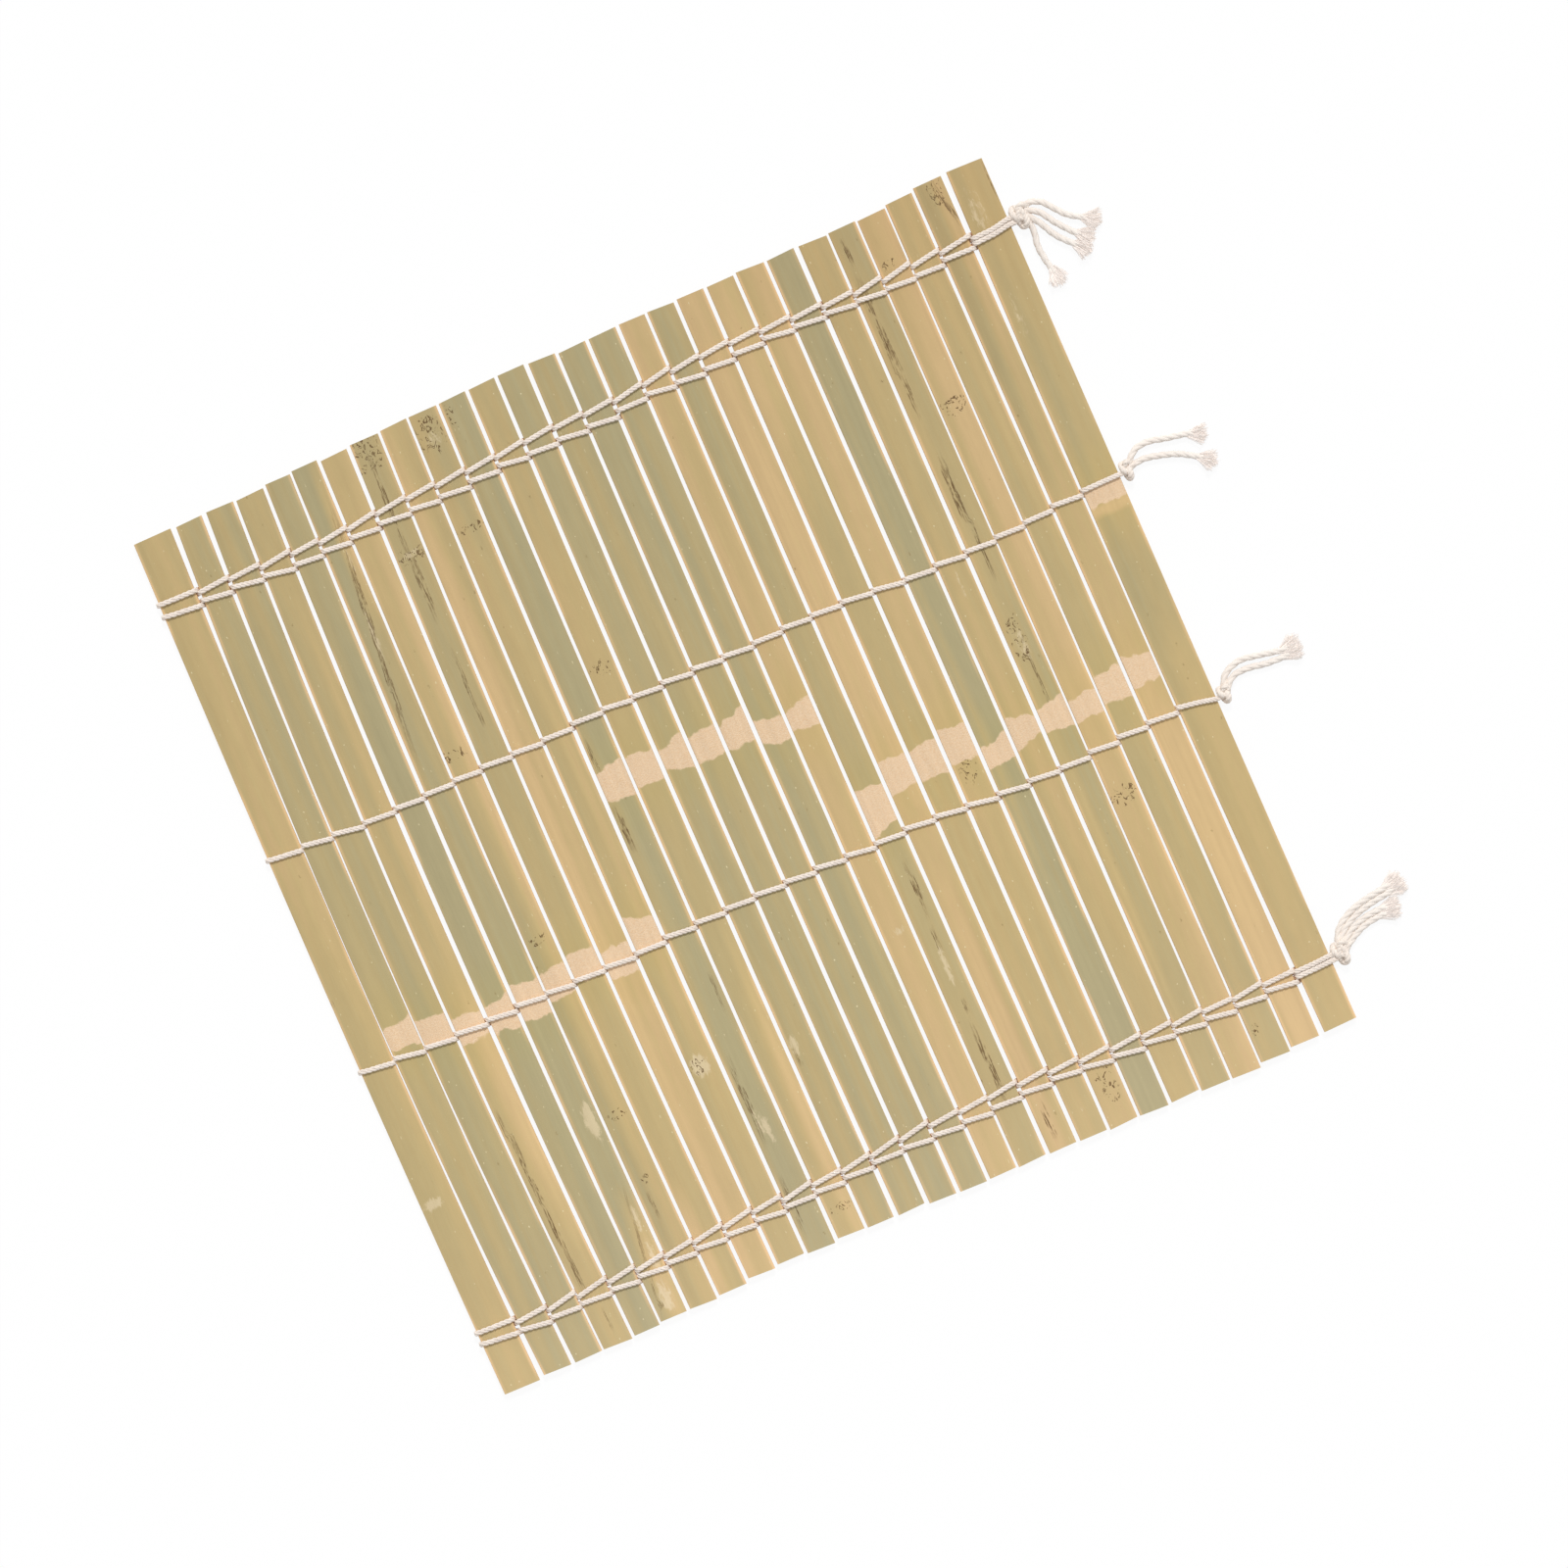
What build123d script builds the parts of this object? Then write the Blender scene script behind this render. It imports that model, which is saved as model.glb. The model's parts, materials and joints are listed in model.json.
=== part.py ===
from build123d import *
import math
import os
from dataclasses import dataclass

# A sushi rolling mat: flat bamboo slats woven side by side with cotton string.
# X runs along the strings, from the slat with the loops to the slat with the knots.
# Y runs along the slats. The mat lies flat on the ground at Z 0, on the strings under its slats.
# The origin is on the ground, under the middle of the mat without its knots and tassels.
# All sizes are in millimetres.

# Slats
SLAT_WIDTHS = (
    9.5, 7.65, 7.65, 7.8, 7.1, 7.35, 7.1, 7.8, 7.65, 7.65, 7.65, 7.5, 7.5, 7.65,
    7.65, 7.65, 7.35, 7.35, 7.65, 7.65, 7.65, 7.8, 7.65, 7.5, 7.35, 7.5, 7.8, 10.0,
)
SLAT_THICKNESS = 1.2
SLAT_EDGE_RADIUS = 0.2
SLAT_GAP = 0.9

# The slats aren't cut quite level. SLAT_SPAN runs from the furthest end at one side to the
# furthest end at the other, and each end stays short of it by a share of its side's sway.
SLAT_SPAN = 243.4
TOP_SWAY = 4.2
BOTTOM_SWAY = 3.1
TOP_SWAY_SHARES = (
    0.96, 0.99, 0.94, 0.98, 0.82, 0.7, 0.82, 0.68, 0.58, 0.54, 0.49, 0.44, 0.39, 0.5,
    0.6, 0.55, 0.51, 0.54, 0.51, 0.54, 0.49, 0.51, 0.54, 0.49, 0.51, 0.29, 0.05, 0.0,
)
BOTTOM_SWAY_SHARES = (
    0.16, 0.32, 0.29, 0.27, 0.35, 0.52, 0.48, 0.61, 0.87, 1.0, 0.81, 0.94, 0.81, 0.77,
    0.56, 0.44, 0.48, 0.45, 0.42, 0.35, 0.26, 0.23, 0.29, 0.1, 0.0, 0.27, 0.47, 0.56,
)

# Strings: flattened where they lie on a slat, with rounded sides
STRING_WIDTH = 1.3
STRING_THICKNESS = 0.85
STRING_BEND = 0.8
STRING_ROUNDING = 0.3
STRING_CLEARANCE = 0.02

# Every string is folded in half round the first slat. In each gap its two halves change
# sides, next to each other, this far either side of the string's own line.
CROSSING_CLEARANCE = 0.26
CROSSING_OFFSET = (STRING_WIDTH + CROSSING_CLEARANCE) / 2

# Two strings run side by side along each outer line and lean away from each other.
PAIR_CLEARANCE = 0.6
PAIR_OFFSET = CROSSING_OFFSET + (STRING_WIDTH + PAIR_CLEARANCE) / 2

# How far out the fold of a string lies, as a share of its crossing offset
FOLD_LEAN_SHARE = 0.7

# The lines of string wander a little: the Y of each line at each slat.
LINE_PLACES = (
    (98.7, 98.4, 98.1, 97.8, 97.7, 97.8, 98.1, 98.5, 98.8, 99.0, 99.3, 99.7, 100.0, 100.2,
     100.5, 100.9, 101.3, 101.6, 101.9, 102.1, 102.1, 101.9, 101.7, 101.6, 101.8, 102.1, 102.5, 102.9),
    (28.7, 28.5, 28.2, 28.1, 28.2, 28.4, 28.7, 29.0, 29.1, 29.4, 29.8, 30.0, 30.1, 30.2,
     30.3, 30.3, 30.5, 30.7, 30.8, 30.6, 30.2, 29.8, 29.9, 30.2, 30.6, 31.1, 31.6, 32.1),
    (-30.8, -31.2, -31.5, -31.5, -31.4, -31.2, -31.1, -31.1, -31.0, -30.7, -30.3, -29.9, -29.6, -29.5,
     -29.5, -29.5, -29.6, -29.6, -29.5, -29.8, -30.2, -30.6, -30.7, -30.6, -30.2, -29.8, -29.4, -29.2),
    (-105.9, -106.3, -106.4, -106.4, -106.3, -106.1, -105.8, -105.5, -105.1, -104.8, -104.6, -104.3, -104.0,
     -103.6, -103.2, -102.9, -102.6, -102.3, -102.2, -102.4, -102.8, -103.2, -103.5, -103.8, -103.9, -103.8,
     -103.7, -103.8),
)

# Each gap is a hinge: the strings' crossings turn about one axis at the slats' mid height.
# What belongs to a slat keeps clear of its neighbour up to this bend, either way.
BEND_ANGLE = 42.0
HINGE_CLEARANCE = 0.05
KNUCKLE_CLEARANCE = 0.08
KNUCKLE_LENGTH = 0.9

# Knots: the strings' ends are tied together at the edge of the last slat. A knot is two
# crossed lobes that rest on the ground.
LOBE_DIAMETER = 3.4
LOBE_TILT = 18.0
KNOT_SEAT = 0.15
KNOT_CLEARANCE = 0.1

# Tassels: the free ends of the strings, lying on the ground with frayed tips
TASSEL_DIAMETER = 1.3
FRAY_WIDTH = 3.6
FRAY_SHARE = 0.45

# How much of the shorter run beside a corner of a tassel's route its rounding takes up
CORNER_SHARE = 0.45

# Sizes that follow from the ones above
UNDER_REACH = SLAT_THICKNESS / 2 + STRING_CLEARANCE
REACH = UNDER_REACH + STRING_THICKNESS
MID_HEIGHT = REACH
SLAT_COUNT = len(SLAT_WIDTHS)
FIRST_WIDTH, LAST_WIDTH = SLAT_WIDTHS[0], SLAT_WIDTHS[-1]
FOLD_REACH = STRING_THICKNESS + STRING_CLEARANCE
WOVEN_LENGTH = sum(SLAT_WIDTHS) + (SLAT_COUNT - 1) * SLAT_GAP
MAT_LENGTH = WOVEN_LENGTH + FOLD_REACH
KNUCKLE_RADIUS = SLAT_GAP / 2 - KNUCKLE_CLEARANCE
LOBE_RADIUS = LOBE_DIAMETER / 2
KNOT_MIDDLE_HEIGHT = LOBE_RADIUS - KNOT_SEAT
TASSEL_RADIUS = TASSEL_DIAMETER / 2
FIRST_EDGE = FOLD_REACH - MAT_LENGTH / 2
LAST_EDGE = MAT_LENGTH / 2


@dataclass(frozen=True)
class StringRun:
    """One string of a line: its place beside the line, and which way it leans over a slat."""

    offset: float
    lean: int


@dataclass(frozen=True)
class Knot:
    """A knot: how far along the edge its middle lies from where its line ends, and its size."""

    aside: float
    length: float
    width: float


@dataclass(frozen=True)
class Tassel:
    """One free string end: its knot, and its route over the ground from that knot's middle."""

    knot: int
    route: tuple


PAIR = (StringRun(PAIR_OFFSET, 1), StringRun(-PAIR_OFFSET, -1))
SINGLE = (StringRun(0.0, -1),)
LINES = (PAIR, SINGLE, SINGLE, PAIR)

KNOTS = (
    Knot(aside=1.3, length=5.4, width=7.4),
    Knot(aside=1.1, length=3.6, width=6.0),
    Knot(aside=-0.5, length=3.8, width=5.4),
    Knot(aside=1.1, length=5.2, width=7.0),
)

TASSELS = (
    Tassel(0, ((1.0, 1.8), (3.8, 2.0), (6.4, 0.8), (8.4, -1.6), (11.0, -4.6), (14.6, -7.0), (18.4, -9.4))),
    Tassel(0, ((1.2, 0.6), (4.6, -1.2), (7.5, -5.4), (10.8, -9.4), (14.9, -13.0))),
    Tassel(0, ((1.2, -0.6), (3.8, -4.0), (6.2, -8.4), (9.4, -12.0), (13.0, -15.6))),
    Tassel(0, ((0.8, -1.0), (1.5, -5.0), (0.9, -9.2), (1.3, -13.2), (2.1, -17.0), (2.6, -20.4))),
    Tassel(1, ((0.8, 0.9), (4.0, 3.8), (8.0, 4.3), (12.4, 3.3), (17.4, 2.3), (22.7, 0.5))),
    Tassel(1, ((0.9, 0.1), (4.9, 0.7), (9.4, -0.2), (13.8, -1.7), (18.0, -4.2), (21.9, -7.4))),
    Tassel(2, ((0.1, 0.9), (2.3, 4.4), (6.8, 6.1), (12.0, 5.4), (17.5, 4.3), (22.9, 4.7))),
    Tassel(2, ((0.8, 0.4), (3.9, 3.1), (8.2, 3.4), (13.1, 2.6), (18.2, 2.4), (22.8, 2.6))),
    Tassel(3, ((-0.6, 1.4), (1.5, 5.6), (5.8, 8.6), (11.0, 10.0), (15.6, 10.4), (20.0, 11.3))),
    Tassel(3, ((0.4, 1.2), (3.1, 4.6), (7.6, 6.7), (12.2, 7.8), (16.5, 8.4), (20.6, 8.3))),
    Tassel(3, ((1.0, 0.8), (4.2, 3.3), (8.2, 4.9), (12.6, 5.6), (17.4, 5.3))),
    Tassel(3, ((1.0, -0.4), (4.3, 1.3), (8.0, 3.0), (12.2, 3.7), (16.6, 3.4))),
)


def knot_out(knot):
    """How far a knot's middle stands out from the last slat's edge, which its tilted lobes just clear."""
    swing = (knot.width - LOBE_DIAMETER) / 2 * math.sin(math.radians(LOBE_TILT))
    return knot.length / 2 + swing + KNOT_CLEARANCE


def slat_width(number):
    """The width of a slat. The first and the last are wider than the others."""
    return SLAT_WIDTHS[number - 1]


def slat_middle(number):
    """The X of a slat's middle."""
    before = sum(SLAT_WIDTHS[:number - 1]) + (number - 1) * SLAT_GAP
    return FIRST_EDGE + before + slat_width(number) / 2


def line_place(line, number):
    """The Y of a line of string at a slat."""
    return LINE_PLACES[line][number - 1]


def upright_prism(points, low, high):
    """A prism along Y, from low to high, over an outline in X and Z."""
    face = make_face(Polyline(*points, close=True))
    return extrude(Plane.XZ.offset(-high) * face, high - low)


def slat_bar(width, low, high, margin=0.0):
    """A slat about its own middle: a flat bar with eased long edges, cut square."""
    half, up = width / 2 + margin, SLAT_THICKNESS / 2 + margin
    bar = upright_prism(((-half, -up), (half, -up), (half, up), (-half, up)), low, high)
    return fillet(bar.edges().filter_by(Axis.Y), SLAT_EDGE_RADIUS + margin)


def own_room(width, first=False, last=False):
    """The room that a slat's strings may fill without meeting the next slat's when the mat bends."""
    tall = 2 * REACH
    pinch = tall * math.tan(math.radians(BEND_ANGLE / 2))
    side = width / 2 + SLAT_GAP / 2 - HINGE_CLEARANCE
    free = width / 2 + 2 * FOLD_REACH
    far_free = width / 2 + max(knot_out(knot) + knot.length for knot in KNOTS)
    left = ((-free, tall), (-free, -tall)) if first else (
        (-side + pinch, tall), (-side, 0), (-side + pinch, -tall))
    right = ((far_free, -tall), (far_free, tall)) if last else (
        (side - pinch, -tall), (side, 0), (side - pinch, tall))
    reach = SLAT_SPAN / 2
    return upright_prism(left + right, -reach, reach)


def string_arch(start, end, front):
    """A block with a string's outer form, from one place on the ground plan to another, over or under."""
    travel = Vector(*end) - Vector(*start)
    half = travel.length / 2
    side = FilletPolyline((-half, 0), (-half, REACH), (half, REACH), (half, 0), radius=STRING_BEND)
    face = make_face(side + Line((half, 0), (-half, 0)))
    block = extrude(Plane.XZ * face, STRING_WIDTH / 2, both=True)
    flank = [block.faces().sort_by(Axis.Y)[place] for place in (0, -1)]
    long_edges = [edge for face in flank for edge in face.edges() if edge.center().Z > STRING_ROUNDING / 2]
    block = fillet(long_edges, STRING_ROUNDING)
    if not front:
        block = mirror(block, about=Plane.XY)
    middle = (Vector(*start) + Vector(*end)) / 2
    return Pos(middle.X, middle.Y, 0) * Rot(0, 0, math.degrees(math.atan2(travel.Y, travel.X))) * block


def knuckle(x, y, radius, length):
    """A round bar on a hinge axis."""
    return Pos(x, y, 0) * Rot(90, 0, 0) * Cylinder(radius, length)


def gap_half(string, gap_x, gap_y, front):
    """Finish a string's end in a gap: over the slat it carries the knuckle, under it it makes way."""
    if front:
        return string + knuckle(gap_x, gap_y, KNUCKLE_RADIUS, KNUCKLE_LENGTH)
    way = KNUCKLE_RADIUS + KNUCKLE_CLEARANCE
    return string - knuckle(gap_x, 0, way, SLAT_SPAN)


def crossing(run, gap_is_left, front):
    """Where a string's half crosses a gap, beside its line. Over the slat it dives the way it leans."""
    way = run.lean if front else -run.lean
    return run.offset + (-way if gap_is_left else way) * CROSSING_OFFSET


def woven_half(run, front, width, bar, room):
    """One half of a string over or under an ordinary slat, from gap to gap."""
    start, end = crossing(run, True, front), crossing(run, False, front)
    right = (width + SLAT_GAP) / 2
    left = -right
    string = (string_arch((left, start), (right, end), front) - bar) & room
    string = gap_half(string, left, start, front)
    return gap_half(string, right, end, front)


def folded_string(run, bar, room):
    """A string folded round the first slat: over it, round its edge and back under it."""
    left, right = -FIRST_WIDTH / 2 - FOLD_REACH, (FIRST_WIDTH + SLAT_GAP) / 2
    fold = run.offset + run.lean * CROSSING_OFFSET * FOLD_LEAN_SHARE
    halves = []
    for front in (True, False):
        end = crossing(run, False, front)
        string = (string_arch((left, fold), (right, end), front) - bar) & room
        halves.append(gap_half(string, right, end, front))
    return halves[0] + halves[1]


def knot_place(line):
    """A knot's middle, on the ground plan."""
    knot = KNOTS[line]
    return LAST_EDGE + knot_out(knot), line_place(line, SLAT_COUNT) + knot.aside


def knot_body(line):
    """A knot: two crossed lobes with round ends, cut flat where they rest on the ground."""
    knot = KNOTS[line]
    x, y = knot_place(line)
    beside = (knot.length - LOBE_DIAMETER) / 2
    half, shoulder = knot.width / 2, (knot.width - LOBE_DIAMETER) / 2
    outline = CenterArc((0, -shoulder), LOBE_RADIUS, -90, 90)
    outline += Line((LOBE_RADIUS, -shoulder), (LOBE_RADIUS, shoulder))
    outline += CenterArc((0, shoulder), LOBE_RADIUS, 0, 90)
    outline += Line((0, half), (0, -half))
    lobe = revolve(make_face(outline), Axis.Y)
    lobes = [Pos(x + way * beside, y, KNOT_MIDDLE_HEIGHT) * Rot(0, 0, way * LOBE_TILT) * lobe
             for way in (1, -1)]
    ground = Pos(x, y, -LOBE_RADIUS) * Box(2 * knot.length, 2 * knot.width, LOBE_DIAMETER)
    return lobes[0] + lobes[1] - ground


def tied_half(line, run, front, bar, room):
    """One half of a string over or under the last slat and on into its knot, about the slat's middle."""
    knot = KNOTS[line]
    start = crossing(run, True, front)
    inner = math.copysign(CROSSING_OFFSET - run.lean * run.offset, -run.lean)
    end = (inner if run.offset else 0) + knot.aside / 2
    left, middle = -(LAST_WIDTH + SLAT_GAP) / 2, LAST_WIDTH / 2 + knot_out(knot)
    string = (string_arch((left, start), (middle, end), front) - bar) & room
    return gap_half(string, left, start, front)


def largest(piece):
    """The main solid of what a cut left."""
    return max(piece.solids(), key=lambda solid: solid.volume)


def corner_radii(points):
    """For each corner of a route, the largest radius that its two runs allow."""
    radii = []
    for before, corner, after in zip(points, points[1:], points[2:]):
        run, following = corner - before, after - corner
        shorter = min(run.length, following.length)
        half_turn = math.radians(run.get_angle(following)) / 2
        radii.append(CORNER_SHARE * shorter / math.tan(half_turn))
    return radii


def tassel_body(tassel):
    """A free string end: a round tube over the ground, and a tip that spreads flat."""
    knot_x, knot_y = knot_place(tassel.knot)
    heights = [KNOT_MIDDLE_HEIGHT, (KNOT_MIDDLE_HEIGHT + TASSEL_RADIUS) / 2]
    heights += [TASSEL_RADIUS] * (len(tassel.route) - 2)
    points = [Vector(knot_x + x, knot_y + y, z) for (x, y), z in zip(tassel.route, heights)]
    radii = corner_radii(points)
    tip, tip_start = points[-1], points[-1] + (points[-2] - points[-1]) * FRAY_SHARE
    path = FilletPolyline(*points[:-1], tip_start, radius=radii)
    facing = Plane(origin=points[0], z_dir=points[1] - points[0])
    tube = sweep(facing * Circle(TASSEL_RADIUS), path=path)
    print(f"tassel at knot {tassel.knot + 1}: least radius {min(radii):.1f}, length {path.length:.1f},",
          f"volume {tube.volume:.2f} for {math.pi * TASSEL_RADIUS**2 * path.length:.2f}")
    ahead = tip - tip_start
    across = Vector(-ahead.Y, ahead.X, 0)
    narrow = Plane(origin=tip_start, x_dir=across, z_dir=ahead) * Circle(TASSEL_RADIUS)
    wide = Plane(origin=tip, x_dir=across, z_dir=ahead) * Ellipse(FRAY_WIDTH / 2, TASSEL_RADIUS)
    return tube + loft([narrow, wide])


def build_slats():
    """Every slat in place, by number."""
    slats = {}
    for number in range(1, SLAT_COUNT + 1):
        high = SLAT_SPAN / 2 - TOP_SWAY * TOP_SWAY_SHARES[number - 1]
        low = BOTTOM_SWAY * BOTTOM_SWAY_SHARES[number - 1] - SLAT_SPAN / 2
        slats[number] = Pos(slat_middle(number), 0, MID_HEIGHT) * slat_bar(slat_width(number), low, high)
    return slats


def woven_stretches(width):
    """Each string's two stretches at a slat of one width, about its middle, by string and side."""
    reach = SLAT_SPAN / 2
    bar, room = slat_bar(width, -reach, reach, STRING_CLEARANCE), own_room(width)
    return {(run, front): woven_half(run, front, width, bar, room)
            for run in PAIR + SINGLE for front in (True, False)}


def build_stitches(knots):
    """The stretches of string on each slat, in place, by the slat's number. The last run into the knots."""
    reach = SLAT_SPAN / 2
    first_bar = slat_bar(FIRST_WIDTH, -reach, reach, STRING_CLEARANCE)
    first_room = own_room(FIRST_WIDTH, first=True)
    folded = {run: folded_string(run, first_bar, first_room) for run in PAIR + SINGLE}
    beyond = max(knot_out(knot) + knot.length for knot in KNOTS)
    last_bar = Pos(beyond / 2, 0, 0) * slat_bar(LAST_WIDTH + beyond, -reach, reach, STRING_CLEARANCE)
    last_room = own_room(LAST_WIDTH, last=True)
    woven = {width: woven_stretches(width) for width in set(SLAT_WIDTHS[1:-1])}
    stitches = {}
    for number in range(1, SLAT_COUNT + 1):
        pieces = []
        for line, runs in enumerate(LINES):
            place = Pos(slat_middle(number), line_place(line, number), MID_HEIGHT)
            for run in runs:
                if number == 1:
                    pieces.append(place * folded[run])
                elif number < SLAT_COUNT:
                    pieces += [place * woven[slat_width(number)][run, front] for front in (True, False)]
                else:
                    tied = [place * tied_half(line, run, front, last_bar, last_room)
                            for front in (True, False)]
                    pieces += [largest(half - knots[line]) for half in tied]
        stitches[number] = pieces
    return stitches


def write_node(name, pieces):
    """Write one named node, as separate solids."""
    solids = [solid for piece in pieces for solid in piece.solids()]
    export_step(Compound(children=solids), f"parts/{name}.step")


def main():
    """Build every piece and write one file for each node."""
    os.makedirs("parts", exist_ok=True)
    slats = build_slats()
    knots = [knot_body(line) for line in range(len(LINES))]
    stitches = build_stitches(knots)
    tassels = []
    for tassel in TASSELS:
        body = tassel_body(tassel)
        earlier = [other for other, owner in zip(tassels, TASSELS) if owner.knot == tassel.knot]
        for other in [knots[tassel.knot], *earlier]:
            body = largest(body - other)
        tassels.append(body)
    for number in range(1, SLAT_COUNT + 1):
        write_node(f"slat_{number:02d}", [slats[number]])
        write_node(f"stitches_{number:02d}", stitches[number])
    write_node("knots", knots)
    write_node("tassels", tassels)


main()
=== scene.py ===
"""A sushi rolling mat: flat bamboo slats woven with twisted cotton string, lying flat and seen from above."""

import json
import logging
import math
import random
from dataclasses import dataclass
from enum import Enum

import bpy
import numpy as np
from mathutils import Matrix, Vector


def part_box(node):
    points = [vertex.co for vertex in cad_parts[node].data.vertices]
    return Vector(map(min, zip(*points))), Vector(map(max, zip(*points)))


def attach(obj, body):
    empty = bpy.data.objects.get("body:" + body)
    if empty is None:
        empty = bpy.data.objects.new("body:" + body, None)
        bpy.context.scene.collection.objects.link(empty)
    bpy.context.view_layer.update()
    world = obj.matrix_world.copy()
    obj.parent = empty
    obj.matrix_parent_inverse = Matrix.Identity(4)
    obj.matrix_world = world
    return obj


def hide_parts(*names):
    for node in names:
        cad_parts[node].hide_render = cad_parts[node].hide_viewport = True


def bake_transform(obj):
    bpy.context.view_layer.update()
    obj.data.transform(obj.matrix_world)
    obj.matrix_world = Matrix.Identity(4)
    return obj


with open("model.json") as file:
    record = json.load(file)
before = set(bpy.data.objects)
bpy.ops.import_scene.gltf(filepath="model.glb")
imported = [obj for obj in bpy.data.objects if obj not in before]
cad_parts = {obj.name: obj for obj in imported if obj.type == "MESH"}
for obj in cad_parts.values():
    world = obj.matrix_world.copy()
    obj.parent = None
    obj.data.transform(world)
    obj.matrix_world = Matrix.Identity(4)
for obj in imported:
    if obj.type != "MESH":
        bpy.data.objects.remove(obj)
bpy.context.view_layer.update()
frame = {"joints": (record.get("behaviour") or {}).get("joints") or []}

LOG = logging.getLogger("rolling_mat")
MM = 0.001
TAU = math.tau
SLAT_COUNT = 28
# Millimetres, as all sizes below: the height of the slats' middle, and their thickness
MIDDLE_HEIGHT = 1.47
SLAT_THICKNESS = 1.2
# How far up and down from the middle each gap's place and width were read
STATION = 112.0
# Edges that fold by more than this, in radians, stay sharp
SHARP_FOLD = 1.1
RANDOM_SEED = 7


def looks_like(red: int, green: int, blue: int) -> tuple[float, float, float, float]:
    """A linear colour from one that is written as it looks.

    Args:
        red, green, blue: The colour as it looks, from 0 to 255.

    Returns:
        The linear colour and a full alpha.
    """
    parts = [part / 255 for part in (red, green, blue)]
    linear = [part / 12.92 if part <= 0.04045 else ((part + 0.055) / 1.055) ** 2.4 for part in parts]
    return (*linear, 1.0)


class Sock:
    """A node's output that takes part in Python sums, each of which adds its node."""

    def __init__(self, book: "Nodes", out: bpy.types.NodeSocket) -> None:
        """Keep the tree's book and the output."""
        self.book, self.out = book, out

    def of(self, name: str) -> "Sock":
        """Another output of the same node."""
        return Sock(self.book, self.out.node.outputs[name])

    def _sum(self, operation: str, first: "Sock | float", second: "Sock | float") -> "Sock":
        """Add the node for one step of a sum, for numbers or for vectors."""
        if any(isinstance(part, Sock) and part.out.type == "VECTOR" for part in (first, second)):
            if operation == "MULTIPLY":
                vector, number = (first, second) if first.out.type == "VECTOR" else (second, first)
                scaled = {"Vector": vector, "Scale": number}
                return self.book.add("ShaderNodeVectorMath", scaled, operation="SCALE")
            parts = [part if isinstance(part, Sock) else (part,) * 3 for part in (first, second)]
            return self.book.add("ShaderNodeVectorMath", dict(enumerate(parts)), operation=operation)
        return self.book.add("ShaderNodeMath", {0: first, 1: second}, operation=operation)

    def __add__(self, other: "Sock | float") -> "Sock":
        """This plus the other."""
        return self._sum("ADD", self, other)

    __radd__ = __add__

    def __sub__(self, other: "Sock | float") -> "Sock":
        """This less the other."""
        return self._sum("SUBTRACT", self, other)

    def __rsub__(self, other: "Sock | float") -> "Sock":
        """The other less this."""
        return self._sum("SUBTRACT", other, self)

    def __mul__(self, other: "Sock | float") -> "Sock":
        """This times the other."""
        return self._sum("MULTIPLY", self, other)

    __rmul__ = __mul__

    def __truediv__(self, other: "Sock | float") -> "Sock":
        """This over the other."""
        return self._sum("DIVIDE", self, other)

    def __gt__(self, other: "Sock | float") -> "Sock":
        """1 where this is above the other, else 0."""
        return self._sum("GREATER_THAN", self, other)

    def over(self, other: "Sock | float") -> "Sock":
        """The larger of the two."""
        return self._sum("MAXIMUM", self, other)

    def turned(self, operation: str) -> "Sock":
        """What one step of a sum makes of this number alone."""
        return self.book.add("ShaderNodeMath", {0: self}, operation=operation)

    def cos(self) -> "Sock":
        """The cosine."""
        return self.turned("COSINE")

    def sin(self) -> "Sock":
        """The sine."""
        return self.turned("SINE")

    def size(self) -> "Sock":
        """The number without its sign."""
        return self.turned("ABSOLUTE")

    def fade(self, low: float, high: float, start: float = 0.0, end: float = 1.0) -> "Sock":
        """Go smoothly from start to end as this goes from low to high.

        Args:
            low, high: Where the fade begins and ends.
            start, end: What it fades from and to.

        Returns:
            The faded number.
        """
        values = {"Value": self, "From Min": low, "From Max": high, "To Min": start, "To Max": end}
        return self.book.add("ShaderNodeMapRange", values, interpolation_type="SMOOTHSTEP")


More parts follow.
